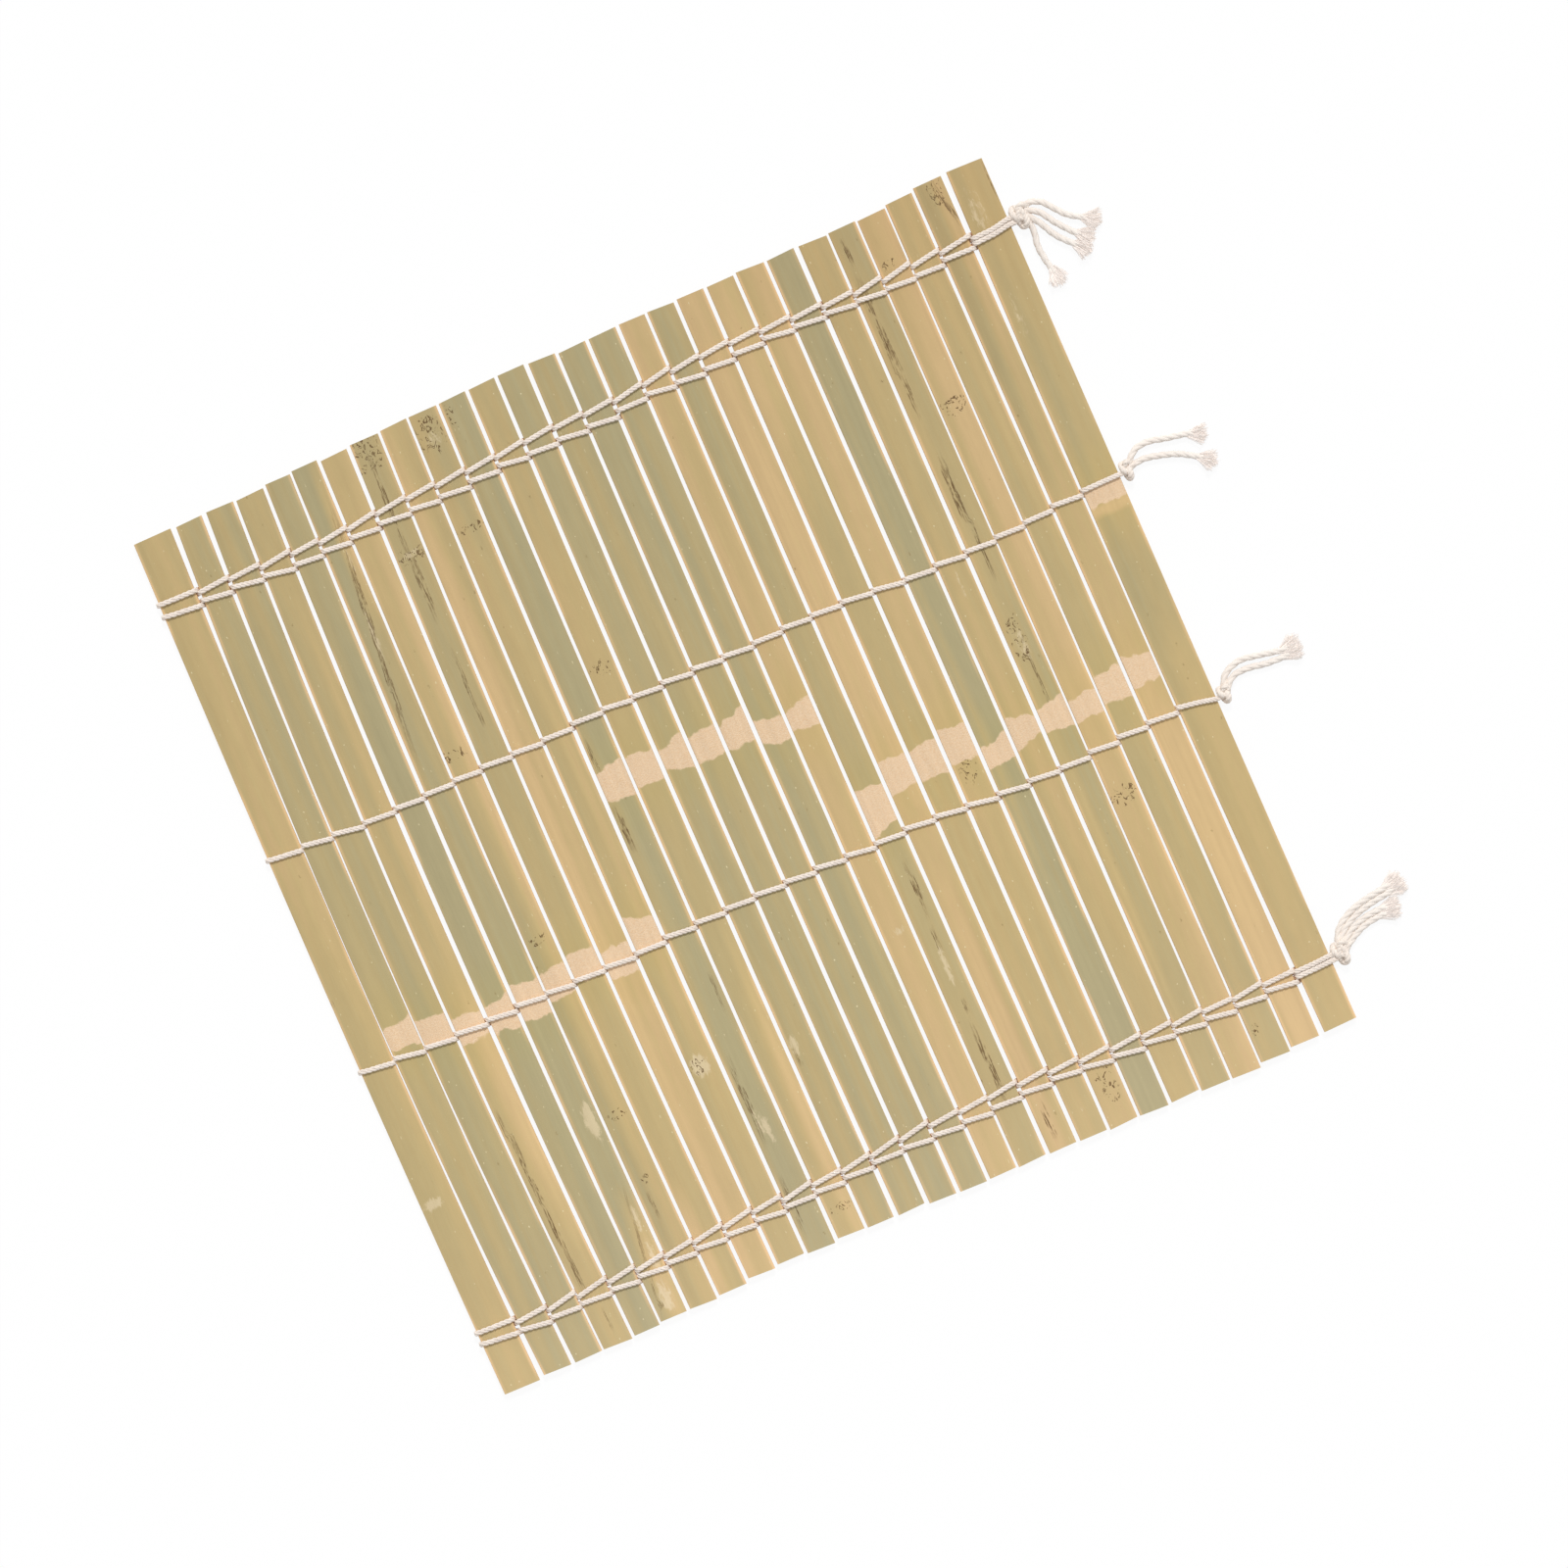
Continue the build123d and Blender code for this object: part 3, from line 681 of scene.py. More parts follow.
# The marks that stand out in the photograph: the numbers of each one's Spot
MARKS = {
    Mark.SQUIGGLE: (
        (8, 0.0, 115.5, 4, 3.2), (8, -0.8, 110.5, 1, 0.9), (8, 0.0, 86.5, 1.8, 3.6),
        (10, 0.0, 113, 4.5, 3.4), (10, 0.0, 86.8, 1.1, 3.6), (11, -0.4, 114.5, 4, 1.2),
        (12, 0.0, 40.5, 1.8, 2.8), (7, -0.3, 35, 1.8, 2.4), (24, -0.25, 4, 6, 1.7),
        (25, 0.0, 66.2, 2.1, 3.4), (25, -0.3, 106, 1, 1.6), (25, 0.0, -43.3, 2.2, 3.6),
        (27, 0.3, 118, 3.4, 1.6), (10, -0.4, -63.5, 2.2, 1.6), (7, -0.1, -17.2, 1.1, 2.3),
        (7, 0.0, -66.5, 0.9, 3.0), (7, 0.1, -84.5, 0.8, 1.3), (12, 0.1, -111.5, 1.0, 3.4),
        (21, 0.1, -112, 2.6, 2.0), (21, 0.1, -107.3, 1.1, 2.0), (21, 0.0, -21.5, 3.2, 1.8),
        (26, -0.6, -112.5, 1.5, 1.0),
    ),
    Mark.STREAK: (
        (8, -0.1, 100, 12, 0.9), (8, 0.0, 78, 7, 1.0), (8, 0.15, 50, 8, 0.6), (8, 0.2, 41, 2, 0.6),
        (11, -0.75, 20, 4, 0.7), (11, -0.65, 0, 5, 1.1), (11, -0.55, -77, 9, 0.9), (11, -0.6, -106, 6, 0.8),
        (11, 0.6, -48, 4, 0.6), (6, 0.0, 72, 26, 0.9, 1.0, 0.075), (24, -0.35, 91, 11, 1.2),
        (24, -0.3, 74, 6, 0.8), (24, -0.3, 113, 3, 0.8), (24, -0.2, 45, 8, 1.2), (24, 0.0, 30, 7, 0.7),
        (24, 0.0, -7, 6, 0.6), (27, 0.6, 114.5, 5, 0.9, 1.0, -0.2), (18, 0.25, -44.5, 6, 0.9),
        (18, 0.1, -58.5, 2.5, 0.7), (18, 0.1, -77, 1.6, 0.6), (18, 0.0, -93, 9, 1.1),
        (4, -0.75, -58, 4, 0.6), (4, -0.55, -72, 12, 0.8), (4, -0.5, -87, 9, 0.9), (4, -0.45, -100, 4, 0.8),
        (7, -0.3, -92, 3, 0.6), (13, -0.6, -71.5, 2, 0.7), (28, 0.93, 116, 4, 0.3),
        (19, -0.2, -112.5, 4, 1.0), (6, -0.5, -116, 0.9, 0.9), (4, 0.1, -114, 2.5, 0.5),
        (1, -0.9, -11.5, 0.8, 0.6), (6, -0.1, -102, 14, 0.5, 0.8, 0.14),
    ),
    Mark.PALE: (
        (6, 0.15, 78, 20, 0.7, 0.9, 0.075), (6, 0.4, -65.5, 6, 1.7, 1.2), (6, 0.6, -93, 5, 0.9),
        (6, 0.35, -104, 6, 1.1), (6, 0.05, -114.5, 5, 1.9), (10, -0.2, -63.5, 3.2, 2.6, 1.2),
        (13, -0.55, -68.5, 3.6, 1.5), (1, -0.3, -68.8, 1.9, 3.2), (18, 0.05, -65, 7, 0.9),
        (24, -0.1, 3, 6, 1.7, 0.8), (8, 0.0, 86.8, 1.3, 3.6, 0.8), (10, 0.0, 111.5, 3, 2.6, 0.7),
        (11, -0.6, -82.5, 6, 0.7, 0.9), (11, 0.0, -86, 5, 0.5, 0.9), (20, 0.2, -112.8, 1.3, 0.8),
        (28, -0.3, 109.5, 8, 2.6, 0.72), (28, -0.3, 81, 10, 1.6, 0.66), (28, 0.0, -58, 20, 2.6, 0.35),
        (17, 0.2, -52.3, 1.4, 1.8, 0.8), (23, -0.1, 23, 7, 0.5, 0.9), (7, 0.0, 105, 16, 2.2, 0.35),
    ),
    Mark.WARM: (
        (7, -0.6, -55, 70, 2.2, -0.6), (7, 0.75, 60, 60, 1.6, 0.4), (9, -0.7, 0, 110, 1.6, 0.45),
        (22, -0.6, 0, 110, 1.6, 0.35), (19, 0.0, 40, 50, 4.0, 0.3), (24, -0.8, 0, 110, 1.3, 0.35),
        (3, -0.3, -60, 60, 3.0, -0.25), (1, -0.7, -60, 60, 2.6, -0.3), (4, 0.7, 10, 70, 1.2, 0.55),
        (4, 0.6, -50, 40, 2.2, 0.6), (9, 0.8, 90, 50, 1.6, -0.4), (12, 0.6, -85, 45, 2.2, 0.6),
        (20, 0.0, 95, 30, 4.0, 0.4), (27, -0.5, 95, 45, 2.6, -0.5), (27, 0.0, -80, 50, 4.0, 0.5),
        (6, 0.7, 95, 20, 1.0, 0.7), (6, 0.4, -108, 18, 2.6, 0.7), (8, -0.8, -108, 16, 2.0, 0.5),
        (19, 0.7, -75, 40, 1.6, -0.3), (24, -0.6, -60, 50, 1.4, 0.4), (16, 0.7, -50, 50, 1.2, 0.3),
        (10, 0.0, 104, 18, 4.0, -0.15), (28, 0.0, 26.2, 1.3, 9.0, 0.8), (28, 0.0, 4, 14, 5.0, -0.25),
        (5, 0.0, -10, 60, 4.0, -0.15),
    ),
}


@dataclass(frozen=True)
class Slats:
    """The bamboo slats, with their own tones, shaved node bands and marks."""

    edge_radius: float = 0.22
    crown: float = 0.1
    row_step: float = 1.2
    top_columns: int = 17
    bottom_columns: int = 5
    # How far the sides wander, and how close its waves lie, across and along, to a metre
    wander: float = 0.16
    waves: tuple[float, float] = (40.0, 16.0)
    # How far out of square an end can be cut
    end_slope: float = 0.16
    # How far from its band a slat still changes its colour, and how deep inside it the band is full
    band_reach: tuple[float, float] = (-16.0, 9.0)
    # How far beside a streak a point says it is where no streak is near
    far_off: float = 9.0
    # From tan to grey green
    tones: tuple = (
        0.38, 0.78, 0.72, 0.52, 0.88, 0.85, 0.32, 0.62, 0.24, 0.42, 0.88, 0.58, 0.74, 0.78,
        0.88, 0.84, 0.26, 0.66, 0.12, 0.46, 0.22, 1.1, 0.42, 0.68, 0.1, 0.5, 0.24, 0.42,
    )
    # From the second slat on: its band's lower edge at its left and its right side, then its upper edge
    bands: tuple = (
        (-28.3, -29.3, -22.6, -21.8), (-31.5, -31.9, -24.0, -24.6), (-34.8, -34.2, -27.0, -27.6),
        (-35.2, -35.9, -27.4, -26.8), (-35.4, -35.9, -25.6, -26.3), (-33.4, -33.0, -26.0, -25.2),
        (-31.2, -31.4, -24.4, -23.9), (-34.2, -35.0, -26.9, -26.5), (-30.9, -30.9, -21.2, -23.3),
        (8.2, 6.7, 16.4, 16.8), (8.6, 8.2, 17.0, 16.3), (9.8, 7.2, 14.8, 17.2), (7.4, 7.8, 15.2, 15.6),
        (7.6, 7.2, 14.6, 17.0), (5.6, 4.0, 12.2, 10.8), (5.6, 4.0, 10.4, 12.8),
        (-28.0, -25.5, -15.0, -15.2), (-20.2, -18.8, -10.6, -10.8), (-19.6, -20.0, -11.0, -10.2),
        (-18.6, -19.0, -9.0, -9.8), (-23.6, -23.3, -18.0, -16.2), (-22.6, -19.9, -13.2, -15.4),
        (-20.8, -22.0, -14.2, -13.4), (-22.0, -21.4, -15.6, -15.0), (-19.8, -21.0, -12.6, -11.6),
        (-19.6, -19.2, -10.6, -11.8), (27.2, 27.6, 32.6, 32.4),
    )

    def tree(self) -> bpy.types.NodeTree:
        """The tree that makes one slat from its section: a bar whose long sides follow the gaps.

        Returns:
            The geometry tree.
        """
        sides = [f"{side} {at}" for side in ("Left", "Right") for at in ("Top", "Middle", "Bottom")]
        lengths = ("Low", "High", "Crown", "Seed", "End Slope", *sides)
        inputs = {**{label: Input.LENGTH for label in lengths}, "Rows": Input.COUNT, "Finish": Input.FINISH}
        tree, book, source = new_growth("bamboo_slat", inputs)
        section = book.add("GeometryNodeMeshToCurve", {0: source.of("Geometry")})
        ends = {"Start": book.place(Y=source.of("Low")), "End": book.place(Y=source.of("High"))}
        line = book.add("GeometryNodeCurvePrimitiveLine", ends)
        line = book.add("GeometryNodeResampleCurve", {"Curve": line, "Count": source.of("Rows")})
        bar = book.tubes(line, section)
        x = book.parted(book.add("GeometryNodeInputPosition"))
        y, z = x.of("Y"), x.of("Z")
        share = y / (STATION * MM)
        edges = []
        for side in ("Left", "Right"):
            top, middle, bottom = (source.of(f"{side} {at}") for at in ("Top", "Middle", "Bottom"))
            bow = ((top + bottom) * 0.5 - middle) * share * share
            edges.append(middle + (top - bottom) * 0.5 * share + bow)
        wave = book.noise(book.place(X=x * self.waves[0], Y=y * self.waves[1], Z=source.of("Seed")), 1.0, 1.0)
        unit = x / MM + 0.5
        new_x = edges[0] + (edges[1] - edges[0]) * unit + (wave - 0.5) * (self.wander * MM)
        side = (unit - 0.5) * 2.0
        new_y = y - side * source.of("End Slope") * share * share * share
        new_z = z + MIDDLE_HEIGHT * MM - side * side * source.of("Crown") * (z > 0.0)
        shaped = book.moved(bar, Position=book.place(X=new_x, Y=new_y, Z=new_z))
        finish_growth(book, shaped, source.of("Finish"))
        return tree

    def section(self, width: float) -> np.ndarray:
        """A slat's section, one unit wide and as thick as the slat, with eased corners.

        Args:
            width: The slat's real width, for the corners' size.

        Returns:
            The section's points, in order round it.
        """
        half, ease = SLAT_THICKNESS / 2, self.edge_radius
        inset = 0.5 - ease / width
        turn = [(math.sin(math.radians(a)), math.cos(math.radians(a))) for a in (22.5, 45, 67.5)]
        top = [(x, half) for x in np.linspace(-inset, inset, self.top_columns)]
        top_right = [(inset + s * ease / width, half - ease + c * ease) for s, c in turn]
        bottom = [(x, -half) for x in np.linspace(inset, -inset, self.bottom_columns)]
        points = top + top_right + [(0.5, half - ease), (0.5, ease - half)]
        points += [(x, -z) for x, z in reversed(top_right)] + bottom
        points += [(-x, -z) for x, z in top_right] + [(-0.5, ease - half), (-0.5, half - ease)]
        points += [(-x, z) for x, z in reversed(top_right)]
        return np.array([(x, z, 0.0) for x, z in reversed(points)])

    def build(self, finish: bpy.types.Material) -> None:
        """Make every slat, dress it and let it ride.

        Args:
            finish: The bamboo material.
        """
        tree = self.tree()
        for number in range(1, SLAT_COUNT + 1):
            low, high = (corner.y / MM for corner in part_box(f"slat_{number:02d}"))
            sizes = {"Low": low * MM, "High": high * MM, "Rows": round((high - low) / self.row_step),
                     "Crown": self.crown * MM, "Seed": float(number * 3), "Finish": finish,
                     "End Slope": random.uniform(-self.end_slope, self.end_slope) * MM}
            for at, y in (("Top", STATION), ("Middle", 0.0), ("Bottom", -STATION)):
                for side, x in zip(("Left", "Right"), sides_of_slat(number, y)):
                    sizes[f"{side} {at}"] = float(x) * MM
            left, right = sides_of_slat(number, 0.0)
            section = self.section(float(right - left))
            piece = grow(f"bamboo_slat_{number:02d}", [section], tree, sizes, closed=True)
            self.tint(piece, number)
            self.mark(piece, number)
            settle(piece, body_of_slat(number), "bamboo", f"slat_{number:02d}")

    def tint(self, piece: bpy.types.Object, number: int) -> None:
        """Write a slat's tone, its edges and its band into its mesh; the first slat has no band.

        Args:
            piece: The slat.
            number: Its number.
        """
        x, y, _ = corners(piece).T
        near, far = sides_of_slat(number, y)
        carry(piece, "seed", number / SLAT_COUNT)
        carry(piece, "tone", self.tones[number - 1])
        carry(piece, "edge", np.minimum(x - near, far - x))
        reach = self.band_reach[0]
        if number > 1:
            low_left, low_right, high_left, high_right = self.bands[number - 2]
            unit = np.clip((x - near) / (far - near), 0, 1)
            low = low_left + (low_right - low_left) * unit
            high = high_left + (high_right - high_left) * unit
            reach = np.clip(np.minimum(y - low, high - y), *self.band_reach)
        carry(piece, "band", reach)

    def mark(self, piece: bpy.types.Object, number: int) -> None:
        """Write a slat's marks into its mesh.

        Args:
            piece: The slat.
            number: Its number.
        """
        x, y, _ = corners(piece).T
        beside, nearest = np.full(len(x), self.far_off), np.full(len(x), np.inf)
        for mark in Mark:
            strength = np.zeros(len(x))
            for spot in (Spot(*row) for row in MARKS[mark] if row[0] == number):
                aside, ahead = spot.away(x, y)
                away = np.hypot(aside / mark.breadth, ahead)
                # Full as far as half its size, and gone at one and a half
                here = spot.strength * np.clip(1.5 - away, 0, 1)
                if mark is Mark.STREAK:
                    beside = np.where(away < nearest, aside, beside)
                    strength = np.where(away < nearest, here, strength)
                    nearest = np.minimum(nearest, away)
                else:
                    strength = np.where(np.abs(here) > np.abs(strength), here, strength)
            carry(piece, mark.value, strength)
        carry(piece, "beside", beside)


@dataclass(frozen=True)
class Strand:
    """Twisted cotton string: three plies that turn round each other."""

    ply_radius: float = 0.35
    # How far the plies lie from the strand's middle, and how much less of it upright than across
    spread: float = 0.37
    flat: float = 0.3
    step: float = 0.28
    sides: int = 8

    def tree(self, name: str, way: str) -> bpy.types.NodeTree:
        """The tree that twists three plies along every line.

        Args:
            name: The tree's name.
            way: How the strand's section is held along the line.

        Returns:
            The geometry tree.
        """
        lengths = ("Ply Radius", "Spread", "Flatness", "Step")
        inputs = {**{label: Input.LENGTH for label in lengths}, "Sides": Input.COUNT, "Finish": Input.FINISH}
        tree, book, source = new_growth(name, inputs)
        line = book.add("GeometryNodeMeshToCurve", {0: source.of("Geometry")})
        line = book.add("GeometryNodeCurveSplineType", {0: line}, spline_type="CATMULL_ROM")
        steps = {"Curve": line, "Length": source.of("Step")}
        line = book.add("GeometryNodeResampleCurve", steps, mode="LENGTH")
        line = book.add("GeometryNodeSetCurveNormal", {"Curve": line}, mode=way)
        turns, phase = (book.add("GeometryNodeInputNamedAttribute", {"Name": label}, data_type="FLOAT")
                        for label in ("turns", "phase"))
        up = book.add("GeometryNodeInputNormal")
        ahead = book.add("GeometryNodeInputTangent")
        aside = book.add("ShaderNodeVectorMath", {0: ahead, 1: up}, operation="CROSS_PRODUCT")
        along = book.add("GeometryNodeSplineParameter", output="Factor")
        line = book.kept(line, "FLOAT", "along", along.of("Length"))
        ring = book.ring(source.of("Sides"), source.of("Ply Radius"))
        spot = book.add("GeometryNodeInputPosition") / source.of("Ply Radius")
        ring = book.kept(ring, "FLOAT_VECTOR", "round", spot)
        joined = book.add("GeometryNodeJoinGeometry")
        for ply in range(3):
            angle = (along * turns + phase) * TAU + ply * TAU / 3
            out = up * (angle.cos() * source.of("Spread"))
            out = out + aside * (angle.sin() * source.of("Spread") * source.of("Flatness"))
            tube = book.tubes(book.moved(line, Offset=out), ring)
            book.tree.links.new(tube.out, joined.out.node.inputs[0])
        finish_growth(book, joined, source.of("Finish"))
        return tree

    def sizes(self, finish: bpy.types.Material) -> dict:
        """The tree's named sizes, in metres."""
        return {"Ply Radius": self.ply_radius * MM, "Spread": self.spread * MM, "Flatness": self.flat,
                "Step": self.step * MM, "Sides": self.sides, "Finish": finish}


@dataclass(frozen=True)
class Course:
    """One string's upper stretches: the Y where each starts at its slat's left and ends at its right."""

    starts: tuple[float, ...]
    ends: tuple[float, ...]


COURSES = (
    Course((
        100.6, 99.6, 99.6, 99.1, 99.1, 98.9, 99.2, 99.9, 100.3, 100.3, 100.5, 100.9, 101.5, 101.8, 101.8,
        101.9, 102.8, 103.1, 103.6, 103.7, 103.3, 103.0, 102.7, 102.4, 102.6, 103.1, 103.3, 103.4
    ), (
        100.5, 100.2, 100.1, 100.1, 99.7, 99.8, 100.4, 100.9, 101.1, 101.3, 101.4, 102.0, 102.4, 102.4,
        102.6, 103.3, 104.1, 104.1, 104.4, 104.2, 103.9, 103.6, 103.3, 103.7, 104.1, 104.2, 104.4, 103.7
    )),
    Course((
        97.2, 97.3, 97.3, 96.7, 96.2, 96.5, 96.8, 97.2, 97.3, 97.3, 97.9, 98.6, 98.3, 98.6, 98.6, 99.4,
        100.2, 99.9, 100.1, 100.7, 101.3, 100.9, 100.8, 100.5, 100.4, 100.4, 101.3, 102.0
    ), (
        96.4, 96.4, 96.1, 95.4, 95.6, 95.8, 96.2, 96.5, 96.5, 96.6, 97.4, 97.6, 97.8, 97.7, 97.8, 99.3,
        99.2, 99.1, 99.5, 100.3, 100.3, 100.1, 99.9, 99.8, 99.9, 100.1, 101.1, 102.4
    )),
    Course((
        29.1, 29.1, 28.7, 28.2, 28.4, 28.6, 29.0, 29.3, 29.3, 29.4, 30.2, 30.5, 30.3, 30.6, 30.7, 30.5,
        30.6, 31.1, 31.1, 31.1, 30.6, 29.9, 30.2, 30.2, 30.6, 31.1, 32.1, 32.6
    ), (
        28.3, 28.0, 27.5, 27.7, 27.9, 28.3, 28.5, 28.7, 28.7, 29.1, 29.8, 29.7, 29.7, 29.8, 29.9, 29.8,
        30.3, 30.5, 30.5, 30.2, 29.5, 29.3, 29.4, 29.7, 30.3, 31.1, 31.6, 32.7
    )),
    Course((
        -30.4, -30.6, -31.2, -31.1, -31.0, -30.6, -30.7, -30.8, -30.7, -30.6, -29.8, -29.5, -29.3, -29.1,
        -29.1, -29.0, -29.2, -29.3, -28.9, -29.2, -29.8, -30.3, -30.4, -30.6, -29.8, -29.2, -28.9, -28.5
    ), (
        -31.3, -31.8, -32.0, -31.9, -31.8, -31.4, -31.5, -31.3, -31.4, -30.9, -30.5, -30.1, -29.8, -29.8,
        -29.9, -30.0, -30.2, -29.8, -29.8, -30.3, -31.1, -31.3, -31.1, -31.0, -30.4, -29.8, -29.5, -29.9
    )),
    Course((
        -103.9, -105.3, -105.6, -105.5, -105.3, -105.4, -105.0, -104.6, -104.2, -103.6, -104.0, -103.4,
        -103.2, -102.6, -101.8, -101.5, -101.3, -101.0, -101.0, -101.3, -101.8, -102.2, -102.4, -102.8,
        -102.7, -102.9, -102.6, -102.8
    ), (
        -104.1, -104.6, -104.2, -104.1, -104.2, -104.3, -104.0, -103.4, -102.8, -102.7, -102.6, -102.7,
        -102.0, -101.1, -100.4, -100.8, -100.6, -100.0, -100.2, -100.8, -101.2, -101.5, -101.8, -102.0,
        -102.5, -101.9, -102.3, -102.7
    )),
    Course((
        -107.0, -107.6, -107.8, -107.6, -107.4, -107.1, -106.9, -106.5, -106.4, -105.9, -105.8, -105.4,
        -105.0, -104.4, -104.1, -104.2, -104.1, -103.8, -103.3, -103.1, -103.6, -104.1, -104.2, -104.7,
        -104.8, -104.8, -104.4, -104.2
    ), (
        -107.8, -108.6, -108.2, -108.1, -108.2, -107.8, -107.4, -107.2, -106.9, -106.7, -106.1, -106.0,
        -105.5, -104.7, -104.9, -105.0, -104.9, -104.2, -104.1, -104.0, -104.8, -105.3, -105.3, -105.8,
        -105.9, -105.5, -105.3, -104.1
    )),
)


@dataclass(frozen=True)
class Weave:
    """The strings between the loops and the knots: a stretch for each gap."""

    strand: Strand = Strand()
    # The heights of the two halves' middles, above and below the slats
    upper: float = 2.5
    lower: float = 0.43
    # Each stretch makes this many thirds of a turn, so that its three plies meet the next one's
    thirds: int = 8
    overlap: float = 0.12
    # How far beyond a slat's edges its upper stretch still leans, as a share of its lean across the slat
    lean_on: float = 0.12
    # Where a half bends on its way from a slat's middle to the gap, as a share of that way, and how far from
    # the gap's middle it leaves the slat, lifted off it a little
    bend: float = 0.45
    brink: float = 0.95
    lift: float = 0.03
    # Where a half dives through the gap: how far beside its middle, and how far above and below half way down
    dive_aside: float = 0.28
    dive_height: float = 0.55
    # The fold round the first slat: how far out and along it lies, and how far in and down its points lie
    fold_out: float = 0.35
    fold_up: float = 0.1
    fold_line: tuple = ((0.9, 0.0), (0.1, 0.45), (-0.02, 1.035), (0.1, 1.62), (0.9, 2.07))
    # How far to each side of a gap's middle a stretch would bend when the mat rolls; the build works out these
    # points but uses them nowhere
    bend_reach: float = 0.9
    # Painted warm shade on the string where it sinks between the slats: how strong, its middle height and its
    # half height
    sunk: tuple[float, float, float] = (1.25, 1.25, 0.6)

    def rise(self, course: Course, number: int) -> float:
        """The Y in the gap before a slat where its upper stretch comes up."""
        start, end = course.starts[number - 1], course.ends[number - 1]
        return start - self.lean_on * (end - start)

    def dive(self, course: Course, number: int) -> float:
        """The Y in the gap after a slat where its upper stretch goes down."""
        start, end = course.starts[number - 1], course.ends[number - 1]
        return end + self.lean_on * (end - start)

    def middle(self, course: Course, number: int, over: bool) -> tuple[float, float, float]:
        """Where a half of the string passes a slat's middle.

        Args:
            course: The string.
            number: The slat.
            over: Whether the half is the upper one there.

        Returns:
            The point.
        """
        if over:
            y = (self.rise(course, number) + self.dive(course, number)) / 2
        elif number == 1:
            y = (course.starts[0] + self.rise(course, 2)) / 2
        elif number == SLAT_COUNT:
            y = (self.dive(course, number - 1) + course.ends[-1]) / 2
        else:
            y = (self.dive(course, number - 1) + self.rise(course, number + 1)) / 2
        return float(sum(sides_of_slat(number, y))) / 2, y, self.upper if over else self.lower

    def crossing(self, course: Course, number: int, falls: bool) -> np.ndarray:
        """The line of one half of a string from a slat's middle, through the gap after it, to the next one's.

        Args:
            course: The string.
            number: The slat before the gap.
            falls: Whether it goes from above to below.

        Returns:
            The line's points.
        """
        start, end = self.middle(course, number, falls), self.middle(course, number + 1, not falls)
        y = self.dive(course, number) if falls else self.rise(course, number + 1)
        x = float(GAPS[number - 1].side(y, 0))
        way = 1 if falls else -1

        def over_slat(slat: tuple[float, float, float], x_at: float, lift: float) -> tuple:
            """A point on the straight way between a slat's middle and the gap."""
            return x_at, slat[1] + (y - slat[1]) * (x_at - slat[0]) / (x - slat[0]), slat[2] + lift

        height, lift = (self.upper + self.lower) / 2, self.lift * way
        deep, aside = self.dive_height * way, self.dive_aside
        points = [start, over_slat(start, start[0] + (x - start[0]) * self.bend, 0.0)]
        points += [over_slat(start, x - self.brink, lift), (x - aside, y, height + deep)]
        points += [(x + aside, y, height - deep), over_slat(end, x + self.brink, -lift)]
        points += [over_slat(end, end[0] + (x - end[0]) * self.bend, 0.0), end]
        return self.overlapped(np.array(points))

    def overlapped(self, route: np.ndarray) -> np.ndarray:
        """A line that runs a little past both of its ends, so that it joins the next one smoothly."""
        first, last = route[0] - route[1], route[-1] - route[-2]
        first, last = (way * self.overlap / np.linalg.norm(way) for way in (first, last))
        return np.vstack([route[0] + first, route[1:-1], route[-1] + last])

    def twist(self, routes: list[np.ndarray]) -> dict[str, list[float]]:
        """Each line's turns and first angle, so that its plies meet the next line's at the slat's middle.

        Args:
            routes: The lines, with their overlaps.

        Returns:
            The lines' numbers, by name.
        """
        spans = [length(route) for route in routes]
        rates = [self.thirds / 3 / (span - 2 * self.overlap) for span in spans]
        turns = [rate * span for rate, span in zip(rates, spans)]
        return {"turns": turns, "phase": [-rate * self.overlap for rate in rates]}

    def fold(self, course: Course) -> np.ndarray:
        """The line of a string round the first slat's edge, from its middle above to its middle below."""
        above, below = self.middle(course, 1, True), self.middle(course, 1, False)
        y = course.starts[0] + self.fold_up
        edge = float(LEFT_SIDE.side(y, 0)) - self.fold_out
        half_way = [((at[0] + edge) / 2, (at[1] + y) / 2, at[2]) for at in (above, below)]
        rounded = [(edge + inwards, y, self.upper - down) for inwards, down in self.fold_line]
        return self.overlapped(np.array([above, half_way[0], *rounded, half_way[1], below]))

    def build(self, finish: bpy.types.Material) -> None:
        """Make the stretches of string, one piece for each gap.

        Args:
            finish: The cotton material.
        """
        level = self.strand.tree("woven_cotton", "Z_UP")
        turned = self.strand.tree("folded_cotton", "MINIMUM_TWIST")
        sizes = self.strand.sizes(finish)
        folds = [self.fold(course) for course in COURSES]
        loops = grow("string_loops", folds, turned, sizes, self.twist(folds))
        carry(loops, "loose", 0.0)
        settle(loops, body_of_slat(1), "cotton_string", "stitches_01")
        for number in range(1, SLAT_COUNT):
            routes = [self.crossing(course, number, falls) for course in COURSES for falls in (True, False)]
            piece = grow(f"string_crossing_{number:02d}", routes, level, sizes, self.twist(routes))
            carry(piece, "loose", 0.0)
            # Painted shade, strongest at the middle height of the gap
            full, middle, half = self.sunk
            carry(piece, "sunk", np.clip(full - np.abs(corners(piece)[:, 2] - middle) / half, 0, 1))
            x = next(j["pos_m"][0] for j in frame["joints"] if j["child"] == body_of_slat(number))
            start, end = ((x + way * self.bend_reach * MM, 0.0, MIDDLE_HEIGHT * MM) for way in (-1, 1))
            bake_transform(piece)
            if number > 1:
                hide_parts(f"stitches_{number:02d}")
            LOG.info("%s: %d points, bends between two rows", piece.name, len(piece.data.vertices))


@dataclass(frozen=True)
class Tail:
    """One loose string end: its knot, its route from that knot's middle, and how wide its tip is frayed."""

    knot: int
    route: tuple
    fray: float = 3.6


@dataclass(frozen=True)
class Knot:
    """A tight overhand knot: its middle, its length and width, and which strings end in it."""

    middle: tuple[float, float]
    length: float
    width: float
    courses: tuple[int, ...]


